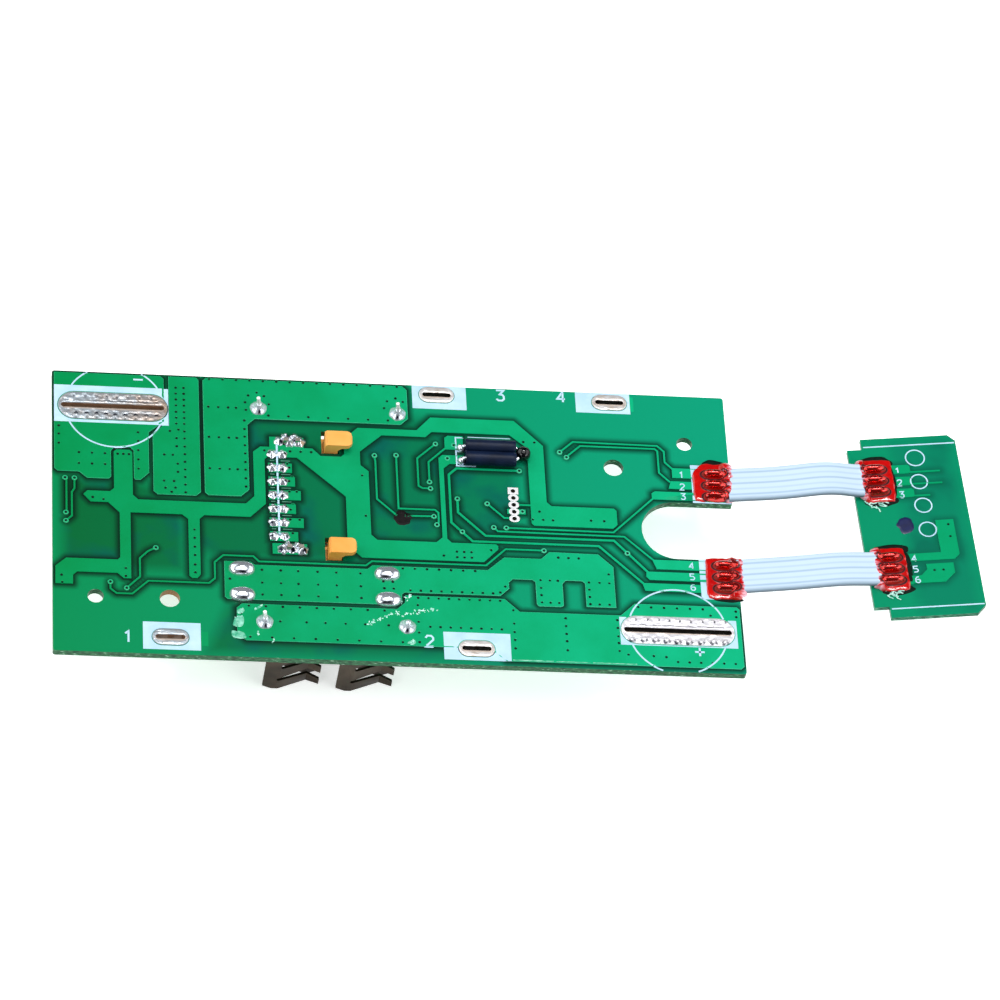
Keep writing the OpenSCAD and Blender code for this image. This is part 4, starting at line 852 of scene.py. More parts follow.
def ovalRing(centre, long, wide, arcSteps, sideSteps):   # starts at the foot of the right end
    half, r = (long - wide) / 2, wide / 2
    points = []
    for side in (1, -1):
        for k in range(arcSteps):
            a = math.pi * k / arcSteps - math.pi / 2
            points.append((centre[0] + side * (half + r * math.cos(a)),
                           centre[1] + side * r * math.sin(a)))
        for k in range(sideSteps):
            points.append((centre[0] + side * half * (1 - 2 * k / sideSteps),
                           centre[1] + side * r))
    return points


# Tin round a slot: a soft swell with a row of lumps on each side, painted shade beside the
# lumps and dark valleys along it, and the slot's walls down to the far face.
def puffedLand(shape, layers, land, centre, steps):
    soil, tanned, lip = layers
    slotL, slotW = land["slot"]
    landL, landW = land["land"]
    span, base = (landW - slotW) / 2, board["copper"] + 0.01
    rows = []
    for k in range(steps[0] + 1):
        out = 1 - k / steps[0]
        rim = min(1.0, (1 - out) * span / tinForm["shoulder"] + 0.02)
        inner = min(1.0, out * span / tinForm["lip"] + 0.02)
        puff = land["puff"] * math.sqrt((1 - (1 - rim) ** 2) * (1 - (1 - inner) ** 2))
        row = []
        for x, y in ovalRing(centre, slotL + (landL - slotL) * out,
                             slotW + (landW - slotW) * out, *steps[1:]):
            rise, dark = puff, 0.0
            if 0.02 < out < 0.98:
                rise += tinForm["lumps"] * land["puff"] * noise.noise(
                    Vector((x * 1.3, y * 1.7, 3.1)))
            inwards = (x - centre[0]) * (1 if centre[0] < 50 else -1) + 7
            for offset, wave, depth, grows in land.get("valleys", ()):
                line = centre[1] + offset + wave * noise.noise(Vector((x * 0.8, offset, 2)))
                line += 0.4 * wave * noise.noise(Vector((x * 2.4, offset, 5)))
                share = max(0.0, min(1.0, (inwards - 2) / 7)) if grows else tinForm["share"]
                share *= 0.75 + 0.6 * noise.noise(Vector((x * 1.1, offset, 8)))
                sunk = depth * share * math.exp(-((y - line) / tinForm["valley"]) ** 2)
                if abs(x - centre[0]) < landL / 2 - 1.4:   # valleys stop short of the ends
                    dark, rise = max(dark, sunk), rise - tinForm["sunk"] * sunk
            for offset, x0, x1, count, r, aside, reach, depth in land.get("bumps", ()):
                i = round((x - x0) / (x1 - x0) * (count - 1))
                i = max(0, min(count - 1, i))
                spot = Vector((x0 + (x1 - x0) * i / (count - 1), centre[1] + offset))
                spot += Vector((0.12, 0.07)) * math.sin(7.3 * i)
                away = Vector((x, y)) - spot
                rise += 0.6 * r * math.sqrt(max(0.0, 1 - (away.length / r) ** 2))
                # painted shade on one side of each lump, and dark dots round the smallest
                shade = (away - Vector(aside) * r).length / r / reach
                if away.length > r * 0.8 or r < 0.2:
                    dark = max(dark, min(depth, max(0.0, 1 - shade) * 4))
            v = shape.verts.new((x, y, base + max(0.01, rise)))
            x0, x1 = land["tanned"]
            v[soil] = min(1.0, dark)
            v[tanned] = max(0.0, min(1.0, (x - x0) / (x1 - x0))) * tinForm["tan"]
            # painted highlight on the slot's near lip
            v[lip] = math.exp(-(out * span / tinForm["lip"]) ** 4) * (y < centre[1])
            row.append(v)
        rows.append(row)
    under = -board["thickness"] - board["copper"]
    feet = [[shape.verts.new((v.co.x, v.co.y, under)) for v in row] for row in
            (rows[-1], rows[0])]
    around = rows + feet
    for n, (a, b) in enumerate(zip(around, around[1:] + around[:1])):
        for k in range(len(a)):
            face = shape.faces.new((a[k], a[(k + 1) % len(a)], b[(k + 1) % len(a)], b[k]))
            face.material_index = int(n == steps[0])


def addLand(name, stands, land, centres, finish, slotFinish, steps):
    shape = bmesh.new()
    layers = [shape.verts.layers.float.new(key) for key in ("soil", "tanned", "lip")]
    for centre in centres:
        puffedLand(shape, layers, land, centre, steps)
    bmesh.ops.recalc_face_normals(shape, faces=shape.faces[:])
    addPiece(name, shape, mainPlace, [finish, slotFinish],
             stands=[stands] if stands else (), sharp=60)


bigSteps, tapSteps = (22, 24, 110), (9, 14, 24)   # across a land, round an end, along a side
addLand("minusStripLand", "minus_strip_land", bigLands["minus"], [bigLands["minus"]["centre"]],
        minusTin, slotShadeBrown, bigSteps)
addLand("plusStripLand", "plus_strip_land", bigLands["plus"], [bigLands["plus"]["centre"]],
        plusTin, slotShadeBlack, bigSteps)
addLand("firstTapLand", None, tapLand, [(17.25, 3.0)], minusTin, slotShadeBrown, tapSteps)
addLand("tapStripLands", "tap_strip_lands", tapLand,
        [(62.6, 2.85), (58.55, board["width"] - 1.7),
         (board["length"] - 17.8, board["width"] - 1.8)], tapTin, slotShadeBlack, tapSteps)
print("strip lands made")


def paintedDarkPatch(shape, centre, size, depth=1.0):   # a patch of painted dark reflection on a joint
    soil = shape.verts.layers.float.get("soil") or shape.verts.layers.float.new("soil")
    for v in shape.verts:
        away = Vector([(a - b) / c for a, b, c in zip(v.co, centre, size)]).length
        v[soil] = max(v[soil], min(depth, max(0.0, (1.35 - away) * 3)))
    return shape


def gather(parts):   # several shapes, each with its place, as one
    whole = bmesh.new()
    for shape, spot in parts:
        shape.transform(Matrix.Translation(spot) if isinstance(spot, tuple) else spot)
        mesh = bpy.data.meshes.new("part")
        shape.to_mesh(mesh)
        shape.free()
        whole.from_mesh(mesh)
        bpy.data.meshes.remove(mesh)
    return whole


# A lump of solder or epoxy on a flat foot. A higher square makes its outline squarer, and a
# higher crown makes its top more pointed.
def mound(length, width, height, square=2.0, rough=0.05, seed=0.0, rings=9, sides=36,
          crown=0.75):
    shape, rows = bmesh.new(), []
    for k in range(rings):
        rise = math.pi / 2 * k / rings
        spread = math.cos(rise) ** crown / 2
        ring = []
        for j in range(sides):
            c, s = math.cos(2 * math.pi * j / sides), math.sin(2 * math.pi * j / sides)
            p = Vector((math.copysign(abs(c) ** (2 / square), c) * length * spread,
                        math.copysign(abs(s) ** (2 / square), s) * width * spread,
                        height * math.sin(rise)))
            p += noise.noise_vector(p * 1.3 + Vector((seed, 2.7, seed))) * rough * (k > 0)
            ring.append(shape.verts.new(p))
        rows.append(ring)
    joinRings(shape, rows + [[shape.verts.new((0, 0, height))]])
    shape.faces.new(rows[0][::-1])
    return shape


def tube(path, r, sides=14):   # a round wire along a path, its ends closed
    shape, rings = bmesh.new(), []
    points = [Vector(p) for p in path]
    aside = None
    for i, p in enumerate(points):
        before = p - points[i - 1] if i else points[1] - p
        after = points[i + 1] - p if i < len(points) - 1 else before
        along = (before.normalized() + after.normalized()).normalized()
        aside = -(aside or Vector((0.3, 0.5, 0.81))).cross(along).cross(along).normalized()
        other = along.cross(aside)
        ring = []
        for k in range(sides):
            a = 2 * math.pi * k / sides
            ring.append(shape.verts.new(p + (aside * math.cos(a) + other * math.sin(a)) * r))
        rings.append(ring)
    joinRings(shape, rings)
    shape.faces.new(rings[0][::-1])
    shape.faces.new(rings[-1])
    bmesh.ops.recalc_face_normals(shape, faces=shape.faces[:])
    return shape


# on each joint, a patch of painted dark reflection is a middle and half sizes
pins = {"x": 31.2, "span": 21.2, "plus": 6.25, "minus": board["width"] - 5.6,
        "tip": [(0.03, -0.05, 0.9), (-0.25, 0, 2.65)], "wire": 0.28}
cone = {"profile": [(1.29, -0.03), (1.27, 0.08), (1.05, 0.28), (0.84, 0.5), (0.63, 0.78),
                    (0.46, 1.06), (0.32, 1.34), (0, 1.4)], "sides": 32, "folds": 0.03,
        "foot": (0.2, 0.34, 0.5), "neck": ((0.3, 0.15, 0.95), (0.26, 0.22, 0.3))}
tips = []
for name, y in (("plus_solder", pins["plus"]), ("minus_solder", pins["minus"])):
    parts = []
    for k in (0, 1):
        at = Matrix.Translation((pins["x"] + k * pins["span"], y, board["copper"]))
        dome = lathe(cone["profile"], cone["sides"], cone["folds"], 5 + k)
        paintedDarkPatch(dome, (0.12 - 0.2 * k, -0.9, 0.3), cone["foot"])
        parts.append((paintedDarkPatch(dome, *cone["neck"]), at))
        if k == 0 or y > 20:   # one pin was cut flush with its solder
            tips.append((tube(pins["tip"], pins["wire"], 10), at))
    addPiece(name.replace("_s", "S"), gather(parts), mainPlace, [coneSolder],
             stands=[name], sharp=60)
addPiece("pinTips", gather(tips), mainPlace, [pinTin], sharp=50)

charge = {"x": 28.0, "y": 13.25, "span": 21.7, "channel": 4.6, "joint": (3.87, 2.5, 1.0),
          "foot": (0.8, 0.22, 0.3)}
addPiece("chargeSolder", gather([
    (paintedDarkPatch(mound(*charge["joint"], square=2.4, rough=0.06, seed=i + 3 * s, crown=0.95),
            (0.1 - 0.3 * i, -0.8, 0.45), charge["foot"]),
     (charge["x"] + i * charge["span"], charge["y"] + s * charge["channel"] / 2,
      board["copper"]))
    for i in (0, 1) for s in (-1, 1)]), mainPlace, [solder],
    stands=["charge_solder"], sharp=60)

# the last two entries are patches of painted dark reflection, on a dome and on the anchor lumps
contact = {"x": 33.8, "y": 29.2, "pitch": 2.5, "count": 7, "tails": 1.56,
           "profile": [(0.8, -0.03), (0.79, 0.04), (0.58, 0.17), (0.4, 0.3), (0.25, 0.44),
                       (0.13, 0.55), (0, 0.58)], "folds": 0.09,
           "flux": ((0.1, -0.4, 0.28), (0.2, 0.2, 0.3)),
           "anchorFlux": ((0.3, -0.3, 0.4), (0.3, 0.3, 0.4))}
contactRows = [contact["y"] + (i - (contact["count"] - 1) / 2) * contact["pitch"]
               for i in range(contact["count"])]
scatter("contactDomes", [(contact["x"] + s * contact["tails"] / 2, y, board["copper"])
                         for y in contactRows for s in (-1, 1)],
        paintedDarkPatch(lathe(contact["profile"], 40, contact["folds"], 5), *contact["flux"]),
        solder, mainPlace, "solder", stands=["contact_solder"], sharp=60,
        **{"Size spread": 0.04, "Turn spread": 6.28, "Seed": 12})
# lumps of solder on the two anchors: middle and width
anchorLumps = [(34.15, 39.1, 1.6), (35.1, 39.9, 1.3), (35.75, 38.9, 1.7), (36.5, 39.9, 1.4),
               (37.2, 39.05, 1.9), (34.3, 19.35, 1.8), (35.75, 19.5, 1.8), (37.15, 19.3, 1.8),
               (35.0, 20.15, 1.2), (36.5, 20.15, 1.2)]
lumps = []
for i, (x, y, size) in enumerate(anchorLumps):
    profile = [(r * size / 1.6, z * (1.1 + 0.4 * (i % 3))) for r, z in contact["profile"]]
    lumps.append((paintedDarkPatch(lathe(profile, 40, 0.1, 4 + i % 3), *contact["anchorFlux"]),
                  Matrix.Translation((x, y, board["copper"])) @ Matrix.Rotation(0.9 * i, 4, "Z")))
addPiece("anchorSolder", gather(lumps), mainPlace, [solder], sharp=60)

sensor = {"x": 61.9, "y": 37.8, "sleeve": 2.23, "length": 7.7, "bead": 2.3, "wire": 0.25,
          "bare": 0.4, "bore": 0.32, "waves": 0.012, "joint": (1.35, 1.3, 0.95)}
sensor["beadX"] = sensor["x"] + sensor["bare"] + sensor["length"] + sensor["bead"] / 2
sensor["z"] = sensor["sleeve"] / 2 + 0.01
for name, s in (("rear_sleeve", 1), ("front_sleeve", -1)):
    r, long = sensor["sleeve"] / 2, sensor["length"]
    profile = [(sensor["bore"], 0.25), (r - 0.16, 0.02), (r - 0.05, 0.0), (r, 0.08)]
    profile += [(r * (1 + sensor["waves"] * math.sin(5 * k + s)), long * k / 12)
                for k in range(1, 12)]
    profile += [(r, long - 0.08), (r - 0.05, long), (r - 0.16, long - 0.02),
                (sensor["bore"], long - 0.3)]
    lay = (Matrix.Translation((sensor["x"] + sensor["bare"], sensor["y"] + s * r, sensor["z"]))
           @ Matrix.Rotation(math.pi / 2, 4, "Y"))
    addPiece(name.replace("_s", "S"), gather([(lathe(profile, 40), lay)]), mainPlace,
             [sleeveSkin], stands=[name], sharp=50)

wires = []
for s in (-1, 1):
    y = sensor["y"] + s * sensor["sleeve"] / 2
    wires.append((tube([(sensor["x"], y, -board["thickness"]), (sensor["x"], y, 0.7),
                        (sensor["x"] + 0.12, y, 0.98),
                        (sensor["x"] + sensor["bare"], y, sensor["z"]),
                        (sensor["beadX"] - 1.1, y, sensor["z"]),
                        (sensor["beadX"] - 0.2, sensor["y"] + s * 0.3, sensor["z"] + 0.1)],
                       sensor["wire"]), (0, 0, 0)))
bead, under = [mound(sensor["bead"], sensor["bead"], sensor["bead"] / 2, rough=0.04,
                     seed=seed, crown=1.0) for seed in (5, 8)]
spot = (sensor["beadX"], sensor["y"], sensor["z"] + 0.1)
addPiece("thermistorBead", gather([(bead, spot), (under, Matrix.Translation(spot)
         @ Matrix.Rotation(math.pi, 4, "X"))]), mainPlace, [beadEpoxy],
         stands=["thermistor"], sharp=70)
addPiece("thermistorWires", gather(wires), mainPlace, [solder], sharp=60)
addPiece("thermistorSolder", gather([
    (mound(*sensor["joint"], rough=0.12, seed=s),
     (sensor["x"] - 0.1, sensor["y"] + s * sensor["sleeve"] / 2, board["copper"]))
    for s in (-1, 1)]), mainPlace, [solder], stands=["thermistor_solder"], sharp=60)
print("solder and thermistor made")


lead = {"width": 6.0, "thick": 0.9, "corePitch": 2.05, "core": 0.25, "coreZ": 0.45,
        "upper": 33.8, "lower": 17.0, "upperWave": 1.0, "lowerWave": 0.5,
        "displayUpper": 24.8, "displayLower": 8.55, "end": board["length"] - 0.8,
        "displayEnd": 1.6, "jointX": board["length"] - 2.5, "displayJointX": 3.5, "z": 0.65,
        "joint": (3.3, 1.4, 0.7)}
toMain = mainPlace.inverted() @ displayPlace


def leadPath(y, displayY, wave, count=64):   # from board to board, with one slight wave
    a = Vector((lead["end"], y, lead["z"]))
    b = toMain @ Vector((lead["displayEnd"], displayY, lead["z"]))
    points = []
    for k in range(count + 1):
        f = k / count
        p = a.lerp(b, f)
        p.z = (a.z + (b.z - a.z) * (1 - math.cos(math.pi * f)) / 2
               + wave * math.sin(math.pi * f * f) ** 2)
        points.append(p)
    return points


# A flat ribbed lead between the boards, and its bared cores at both ends.
def flatLead(name, stands, y, displayY, wave):
    path = leadPath(y, displayY, wave)
    shape = bmesh.new()
    across = shape.verts.layers.float.new("across")
    aside = Vector((path[-1].y - path[0].y, path[0].x - path[-1].x, 0)).normalized() * -1
    half, count, rings = lead["thick"] / 2, 36, []
    for i, p in enumerate(path):
        step = path[min(i + 1, len(path) - 1)] - path[max(i - 1, 0)]
        up = aside.cross(step).normalized()
        up = up if up.z > 0 else -up
        loop = []
        for side in (1, -1):
            for k in range(count + 1):
                u = k / count if side > 0 else 1 - k / count
                edge = min(1.0, (1 - abs(2 * u - 1)) * lead["width"] / lead["thick"] / 0.9)
                dome = math.sqrt(1 - (1 - edge) ** 2)
                cores = 0.06 * math.cos(2 * math.pi * (u * lead["width"] / lead["corePitch"]
                                        - lead["width"] / lead["corePitch"] / 2))
                z = side * half * dome * (0.98 + 0.3 * cores)
                v = shape.verts.new(p + aside * (u - 0.5) * lead["width"] + up * z)
                v[across] = u
                loop.append(v)
        rings.append(loop)
    joinRings(shape, rings)
    for ring in (rings[0], rings[-1]):
        shape.faces.new(ring)
    bmesh.ops.remove_doubles(shape, verts=shape.verts[:], dist=0.002)
    bmesh.ops.recalc_face_normals(shape, faces=shape.faces[:])
    addPiece(name, shape, mainPlace, [jacket], stands=[stands], sharp=60)
    cores = []
    for k in (-1, 0, 1):
        for place, x0, x1, cy in ((Matrix.Identity(4), lead["jointX"] - 0.6,
                                   board["length"] - 0.4, y),
                                  (toMain, 1.2, lead["displayJointX"] + 0.6, displayY)):
            coreY = cy + k * lead["corePitch"]
            cores.append((tube([(x0, coreY, lead["coreZ"]), (x1, coreY, lead["coreZ"])],
                               lead["core"]), place))
    addPiece(name + "Cores", gather(cores), mainPlace, [solder], sharp=60)


flatLead("upperLead", "upper_lead", lead["upper"], lead["displayUpper"], lead["upperWave"])
flatLead("lowerLead", "lower_lead", lead["lower"], lead["displayLower"], lead["lowerWave"])
for name, stands, place, x, shift, ys in (
        ("leadSolder", "lead_solder", mainPlace, lead["jointX"], 0.4,
         (lead["upper"], lead["lower"])),
        ("displayLeadSolder", "display_lead_solder", displayPlace, lead["displayJointX"], 0.0,
         (lead["displayUpper"], lead["displayLower"]))):
    addPiece(name, gather([(mound(*lead["joint"], square=2.4, seed=k + y),
                            (x + shift * (y == ys[1]), y + k * lead["corePitch"],
                             board["copper"])) for y in ys for k in (-1, 0, 1)]),
             place, [solder], stands=[stands], sharp=60)


# a patch of lacquer: its box, the corner that is cut round, where its joints are, and the side
# its lead comes in from
sealantForm = {"base": 0.32, "overLead": 1.22, "dome": 1.45, "length": 1.9, "width": 0.8,
               "cell": 0.105, "wobble": 0.2, "fringe": 0.55, "lift": 0.08}
sealants = {
    "upper_sealant": (mainPlace, (97.2, 103.5), (30.95, 38.05), (-1, 1, 2.4), lead["jointX"],
                      lead["upper"], 1, 1.3),
    "lower_sealant": (mainPlace, (98.0, 104.0), (13.2, 20.7), (1, -1, 1.2), lead["jointX"] + 0.5,
                      lead["lower"], 1, 4.9),
    "upper_display_sealant": (displayPlace, (0.8, 6.4), (21.0, 28.8), (-1, -1, 1.4),
                              lead["displayJointX"], lead["displayUpper"], -1, 7.7),
    "lower_display_sealant": (displayPlace, (0.6, 6.1), (4.7, 12.5), (-1, -1, 1.2),
                              lead["displayJointX"], lead["displayLower"], -1, 9.1)}


# Lacquer over three joints and a lead's end: a thin flat skin that climbs onto the lead, swells
# over each joint and runs out in a ragged fringe along the lead.
def sealantPatch(name, place, xs, ys, corner, jointX, jointY, leadSide, seed):
    form = sealantForm
    leadX = lead["end"] if leadSide > 0 else lead["displayEnd"]
    shape = bmesh.new()
    joint, thin, valley = [shape.verts.layers.float.new(key)
                           for key in ("joint", "thin", "valley")]
    middle = Vector(((xs[0] + xs[1]) / 2, (ys[0] + ys[1]) / 2))
    half = Vector(((xs[1] - xs[0]) / 2, (ys[1] - ys[0]) / 2))
    countX, countY = [round(2 * h / form["cell"]) for h in half]
    grid = []
    for i in range(countX + 1):
        line = []
        for j in range(countY + 1):
            u, v = 2 * i / countX - 1, 2 * j / countY - 1
            x = middle.x + half.x * u * (1 - 0.07 * abs(v) ** 5)
            y = middle.y + half.y * v * (1 - 0.05 * abs(u) ** 5)
            bend = Vector((middle.x + corner[0] * (half.x - corner[2]),
                           middle.y + corner[1] * (half.y - corner[2])))
            dx, dy = (x - bend.x) * corner[0], (y - bend.y) * corner[1]
            if dx > 0 and dy > 0:
                pull = max(dx, dy) / math.hypot(dx, dy)
                x, y = bend.x + dx * pull * corner[0], bend.y + dy * pull * corner[1]
            wobble = noise.noise(Vector((x * 0.9, y * 0.9, seed)))
            fringe = noise.noise(Vector((0.0, y * 2.6, seed + 4)))
            side = u * leadSide
            x += (form["wobble"] * wobble * abs(u) ** 4
                  + leadSide * form["fringe"] * fringe * max(0.0, side) ** 6)
            y += form["wobble"] * wobble * abs(v) ** 4
            edge = ((1 - abs(u) ** 7) * (1 - abs(v) ** 7)) ** 0.4
            on = max(0.0, min(1.0, ((x - leadX) * leadSide + 0.9) / 0.75))
            climb = on * on * (3 - 2 * on)
            flat = form["base"] + (form["overLead"] - form["base"]) * climb
            flat *= 0.95 + 0.2 * wobble
            domes = [(abs((x - jointX) / form["length"]) ** 3.2
                      + ((y - jointY - k * lead["corePitch"]) / form["width"]) ** 2)
                     for k in (-1, 0, 1)]
            near = min(domes)
            bulge = form["dome"] * math.sqrt(max(0.0, 1 - near)) ** 0.9
            z = max(flat, bulge) * edge
            p = shape.verts.new((x, y, form["lift"] + z))
            p[joint] = max(0.0, min(1.0, (1.02 - near) * 5))
            # painted shade in the valley round each dome
            p[valley] = max(0.0, min(1.0, 1.5 - abs(near - 1.2) / 0.42)) * (near > 0.85)
            streak = noise.noise(Vector((x * 0.8, y * 3.4, seed + 9)))
            p[thin] = max(0.0, min(1.0, (side - 0.7 + 0.35 * streak) * 4.5)) * 0.85
            line.append(p)
        grid.append(line)
    for i in range(countX):
        for j in range(countY):
            shape.faces.new((grid[i][j], grid[i + 1][j], grid[i + 1][j + 1], grid[i][j + 1]))
    rim = ([grid[i][0] for i in range(countX + 1)]
           + [grid[countX][j] for j in range(1, countY + 1)]
           + [grid[i][countY] for i in range(countX - 1, -1, -1)]
           + [grid[0][j] for j in range(countY - 1, 0, -1)])
    shape.faces.new(rim[::-1])
    words = name.split("_")
    addPiece(words[0] + "".join(w.title() for w in words[1:]), shape, place, [sealantRed],
             stands=[name], sharp=80)


for name, values in sealants.items():
    sealantPatch(name, *values)
print("leads and sealant made")


tabTop = 0.3   # the terminals' tabs end inside their solder


def trimmed(shape, height):   # cuts off what stands above a height
    cut = bmesh.ops.bisect_plane(shape, geom=shape.verts[:] + shape.edges[:] + shape.faces[:],
                                 plane_co=Vector((0, 0, height)), plane_no=Vector((0, 0, 1)),
                                 clear_outer=True)
    bmesh.ops.holes_fill(shape, edges=[e for e in cut["geom_cut"]
                                       if isinstance(e, bmesh.types.BMEdge)])
    return shape


for name, new in (("plus_terminal", "plusTerminal"), ("minus_terminal", "minusTerminal"),
                  ("charge_terminal", "chargeTerminal")):
    addPiece(new, trimmed(cadCopy(name, mainPlace), tabTop), mainPlace, [bronze],
             stands=[name], steps=[softEdges(0.07)])
addPiece("signalHousing", cadCopy("signal_housing", mainPlace), mainPlace, [orangePlastic],
         stands=["signal_housing"], steps=[softEdges(0.16, 3)])
addPiece("testLands", cadCopy("test_lands", mainPlace), mainPlace, [testTin],
         stands=["test_lands"], steps=[softEdges(0.04)])
test = {"x": board["length"] - 33.55, "y": 29.1, "pitch": 1.27, "hole": 0.35, "deep": -0.1}
# dark discs of painted shade down in the test lands' holes
scatter("testHoleFlux", [(test["x"], test["y"] + i * test["pitch"], test["deep"])
                         for i in range(-2, 3)],
        lathe([(test["hole"], -0.3), (test["hole"], 0.0), (0, 0.02)], 16), slotShadeBlack,
        mainPlace, "tinned_land")

finishes = {
    contactTin: [f"signal_contact_{i + 1}" for i in range(contact["count"])]
    + ["front_anchor", "rear_anchor"],
    lampBody: ["light_1", "light_2", "light_3", "light_4"],
    switchPlastic: ["switch_base", "switch_plunger"], switchSteel: ["switch_cover"],
    shuntMetal: ["shunt_resistor"], chipCeramic: ["chip_capacitors"],
    chipResist: ["chip_resistors"],
    chipEpoxy: ["charge_transistors", "discharge_transistors", "control_chip", "monitor_chip",
                "surge_diode", "small_transistors"]}
for finish, names in finishes.items():
    for name in names:
        nodes[name].data.materials.clear()
        nodes[name].data.materials.append(finish)


filmForm = {"rings": 7, "sides": 40, "ragged": 0.28}   # ink or flux with a ragged outline


def addFilm(shape, surface, x, y, length, width, lift, seed, turn=0.0):
    rings, sides = filmForm["rings"], filmForm["sides"]
    rows = []
    for k in range(rings):
        ring = []
        for j in range(sides):
            a = 2 * math.pi * j / sides
            ragged = 1 + filmForm["ragged"] * noise.noise(Vector((math.cos(a) * 1.5,
                                                                  math.sin(a) * 1.5, seed)))
            u, v = (length / 2 * math.cos(a) * ragged * (1 - k / rings),
                    width / 2 * math.sin(a) * ragged * (1 - k / rings))
            px = x + u * math.cos(turn) - v * math.sin(turn)
            py = y + u * math.sin(turn) + v * math.cos(turn)
            rise = 0.0 if k == 0 else lift * min(1.0, 0.6 + 0.2 * k)
            ring.append(shape.verts.new((px, py, heightAt(surface, px, py) + rise)))
        rows.append(ring)
    joinRings(shape, rows)
    shape.faces.new(rows[-1])


# short ends of track that leave the tap lands, and faint printed dashes between the contacts
tapStubs = [rectangle(21.75, 1.6, 22.8, 4.1), rectangle(88.4, 47.4, 88.95, 50.1)]
dashes = {"spans": ((32.7, 33.35), (34.35, 35.75)), "aside": 0.1, "width": 0.13}
shape = bmesh.new()
for outline in tapStubs:
    addSheet(shape, [outline])
addLaid("tapStubs", shape, mainBoard, copperMask, 0.03)
shape = bmesh.new()
for low, high in zip(contactRows, contactRows[1:]):
    y = (low + high) / 2 + dashes["aside"]
    for x0, x1 in dashes["spans"]:
        addStrip(shape, [(x0, y), (x1, y)], dashes["width"])
addLaid("landRules", shape, mainBoard, fadedInk, printThick)

films = {   # board and finish, then each film's middle, length, width, height, seed and turn
    "inkDot": (mainBoard, markerInk, [(52.5, 25.9, 2.7, 2.6, 0.05, 2.0)]),
    "displayInkDot": (displayBoard, markerBlue, [(7.0, 16.6, 2.8, 2.8, 0.05, 6.0)]),
    "burntFlux": (mainBoard, fluxDark, [(100.6, 37.6, 4.4, 2.6, 0.14, 100.6),
                                        (101.2, 13.5, 4.6, 1.6, 0.14, 101.2)]),
    "displayBurntFlux": (displayBoard, fluxDark, [
        (4.0, 28.5, 5.4, 2.2, 0.12, 28.5), (4.0, 21.3, 5.4, 1.9, 0.12, 21.3),
        (4.0, 12.2, 5.4, 2.2, 0.12, 12.2), (4.0, 5.0, 5.4, 1.9, 0.12, 5.0),
        (5.9, 24.8, 1.5, 7.4, 0.1, 24.8), (5.9, 8.9, 1.5, 7.4, 0.1, 8.9)]),
    "fluxSmears": (mainBoard, fluxPale, [
        (27.4, 6.2, 2.2, 1.5, 0.03, 27.4, 1.0), (27.7, 8.0, 1.2, 0.9, 0.03, 27.7, 0.3),
        (27.3, 3.8, 2.4, 1.2, 0.03, 27.3, -0.4), (30.4, 8.8, 1.4, 0.4, 0.03, 30.4, 0.6),
        (53.0, 3.5, 1.2, 0.7, 0.03, 53.0, 0.2)])}
for name, ((place, surface), finish, spots) in films.items():
    shape = bmesh.new()
    for spot in spots:
        addFilm(shape, surface, *spot)
    addPiece(name, shape, place, [finish], sharp=80)

# dried flux drawn out in short white threads beside the display board's joints
threads = {"bases": (20.7, 4.3), "count": 10, "step": 0.3, "points": 5, "width": 0.17}
draw = random.Random(5)
shape = bmesh.new()
for base in threads["bases"]:
    for k in range(threads["count"]):
        x, y = draw.uniform(1.3, 4.0), base + draw.uniform(-0.5, 0.6)
        turn = draw.uniform(-1.0, 1.0)
        addStrip(shape, [(x + threads["step"] * j * math.cos(turn) + draw.gauss(0, 0.08),
                          y + threads["step"] * j * math.sin(turn) + draw.gauss(0, 0.08))
                         for j in range(threads["points"])], threads["width"], 0.2)
addLaid("fluxThreads", shape, displayBoard, fluxWhite, 0.03, 0.15, sharp=80)

# a thin pale line of flux along the front edge: first and last x and width of each length
fluxLine = {"y": 1.02, "sway": 0.08, "points": 31, "thick": 0.012,
            "lengths": ((67.9, 74.0, 0.16), (74.4, 79.5, 0.1), (79.9, 86.5, 0.13))}
shape = bmesh.new()
for x0, x1, wide in fluxLine["lengths"]:
    xs = [x0 + (x1 - x0) * k / (fluxLine["points"] - 1) for k in range(fluxLine["points"])]
    addStrip(shape, [(x, fluxLine["y"] + fluxLine["sway"] * noise.noise(Vector((
        x * 2.1, 0, 4)))) for x in xs], wide)
addLaid("fluxLine", shape, mainBoard, fluxPale, fluxLine["thick"], sharp=80)

# white flecks of it, strewn along short lines: two ends, how many, and how far to the sides
fleckLines = (
    (46.5, 6.4, 51.0, 8.9, 34, 0.13), (50.6, 8.3, 56.8, 9.6, 36, 0.18),
    (51.6, 10.4, 53.2, 12.0, 12, 0.16), (52.6, 3.2, 53.4, 4.0, 7, 0.12),
    (29.4, 8.2, 31.0, 9.4, 9, 0.12), (29.9, 3.9, 30.3, 4.6, 5, 0.1),
    (32.2, 2.7, 32.5, 3.2, 4, 0.1), (26.6, 4.2, 27.9, 8.6, 8, 0.3))
flecks, chance = [], random.Random(11)
for x0, y0, x1, y1, count, spread in fleckLines:
    for k in range(count):
        f = chance.random()
        x, y = [a + (b - a) * f + chance.gauss(0, spread) for a, b in ((x0, x1), (y0, y1))]
        if 0.5 < y:
            flecks.append((x, y, heightAt(mainSurface, x, y)))
fleck = mound(0.32, 0.17, 0.05, rough=0.02, seed=3.0, rings=3, sides=8)
scatter("fluxFlecks", flecks, fleck, fluxWhite, mainPlace, "laminate",
        **{"Size spread": 0.5, "Turn spread": 6.28, "Seed": 3})
print("ink and flux made")


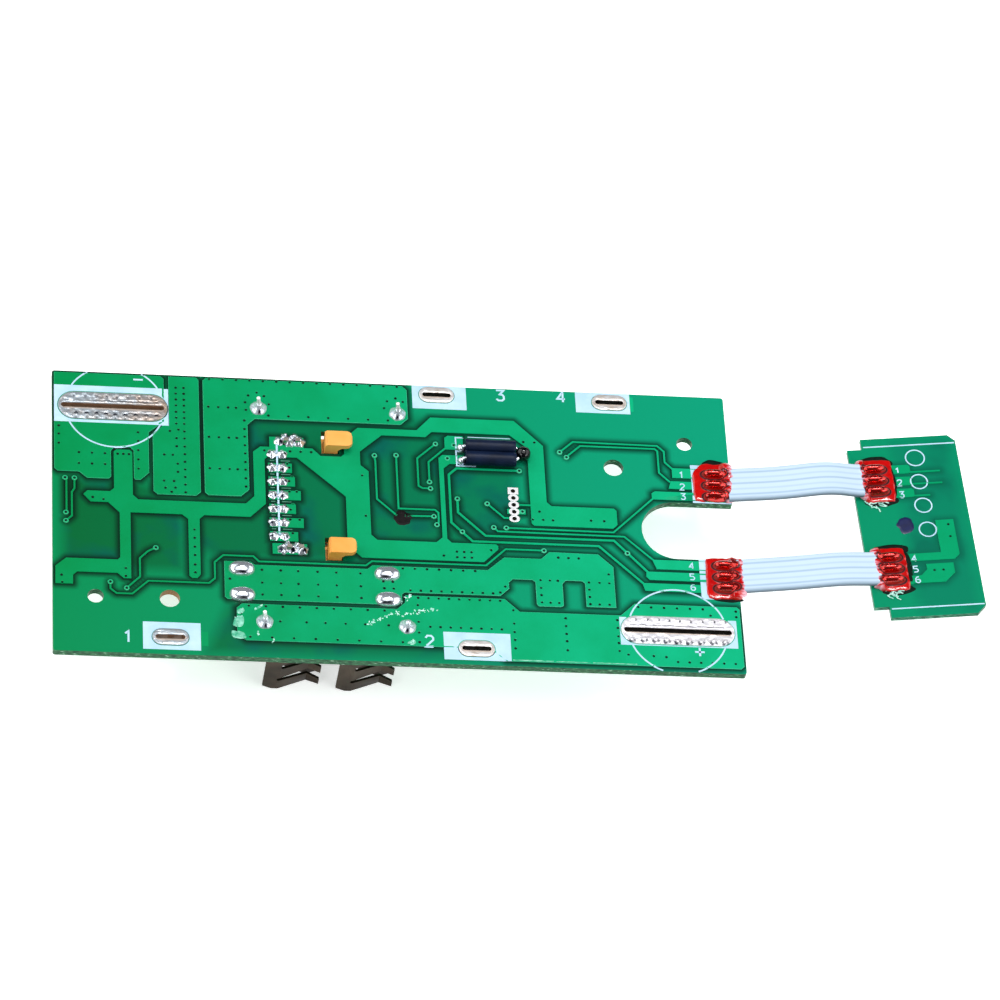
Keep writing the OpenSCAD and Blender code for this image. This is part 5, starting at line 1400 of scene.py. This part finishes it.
floorHalf = 3   # metres
ground = bmesh.new()
ground.faces.new([ground.verts.new((x, y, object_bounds()[0][2])) for x, y in rectangle(
    -floorHalf, -floorHalf, floorHalf, floorHalf)])
# white opal acrylic of a light table, faintly lit from below
lightTable = grained("lightTable", ("F4F4F4", "F7F7F7"), 60, 4, 0.00001, Roughness=0.9,
                     Emission_Strength=0.6)
floor = newObject("floor", meshOf("floor", ground, [lightTable]))

camera = {"aim": (67.404, 29.929, 0.0), "distance": 843.9, "azimuth": 13.803,
          "elevation": 53.903, "roll": 13.476, "lens": 201.7}
lights = [   # name, size in metres, watts, distance in metres, azimuth, elevation
    ("overheadSoftbox", (1.1, 0.8), 5.5, 1.2, 190, 84),
    ("frontLeftSoftbox", (0.55, 0.4), 2.3, 1.0, 232, 27),
    ("frontRightSoftbox", (0.55, 0.4), 2.3, 1.0, 136, 27),
    ("leftSoftbox", (1.4, 1.0), 8.0, 1.2, 292, 33),
    ("rightSoftbox", (1.4, 1.0), 7.0, 1.2, 88, 33),
    ("rearStrip", (0.45, 0.1), 3.4, 1.0, 15, 77)]


def direction(azimuth, elevation):   # azimuth 0 is the rear, turning to the right
    a, e = math.radians(azimuth), math.radians(elevation)
    return Vector((math.sin(a) * math.cos(e), math.cos(a) * math.cos(e), math.sin(e)))


aim = mainPlace @ Vector(camera["aim"])
forward = direction(camera["azimuth"], -camera["elevation"])
eye = aim - forward * camera["distance"] / 1000
lensData = bpy.data.cameras.new("camera")
lensData.lens = camera["lens"]
lensData.clip_start, lensData.clip_end = 0.05, 20
viewer = newObject("camera", lensData)
viewer.matrix_world = (Matrix.Translation(eye) @ (-forward).to_track_quat("Z", "Y").to_matrix()
                       .to_4x4() @ Matrix.Rotation(math.radians(camera["roll"]), 4, "Z"))
scene.camera = viewer

for name, size, power, distance, azimuth, elevation in lights:
    data = bpy.data.lights.new(name, "AREA")
    data.shape, data.size, data.size_y, data.energy = "RECTANGLE", size[0], size[1], power
    lamp = newObject(name, data)
    way = direction(azimuth, elevation)
    lamp.matrix_world = Matrix.Translation(aim + way * distance) @ way.to_track_quat(
        "Z", "Y").to_matrix().to_4x4()

studioAir = {"Color": linear("E4ECF6"), "Strength": 0.07}   # cool and dim, to fill the shadows
world = bpy.data.worlds.new("studio")
world.use_nodes = True
for socket, value in studioAir.items():
    world.node_tree.nodes["Background"].inputs[socket].default_value = value
scene.world = world
scene.view_settings.view_transform = "Standard"

print("scene ready")
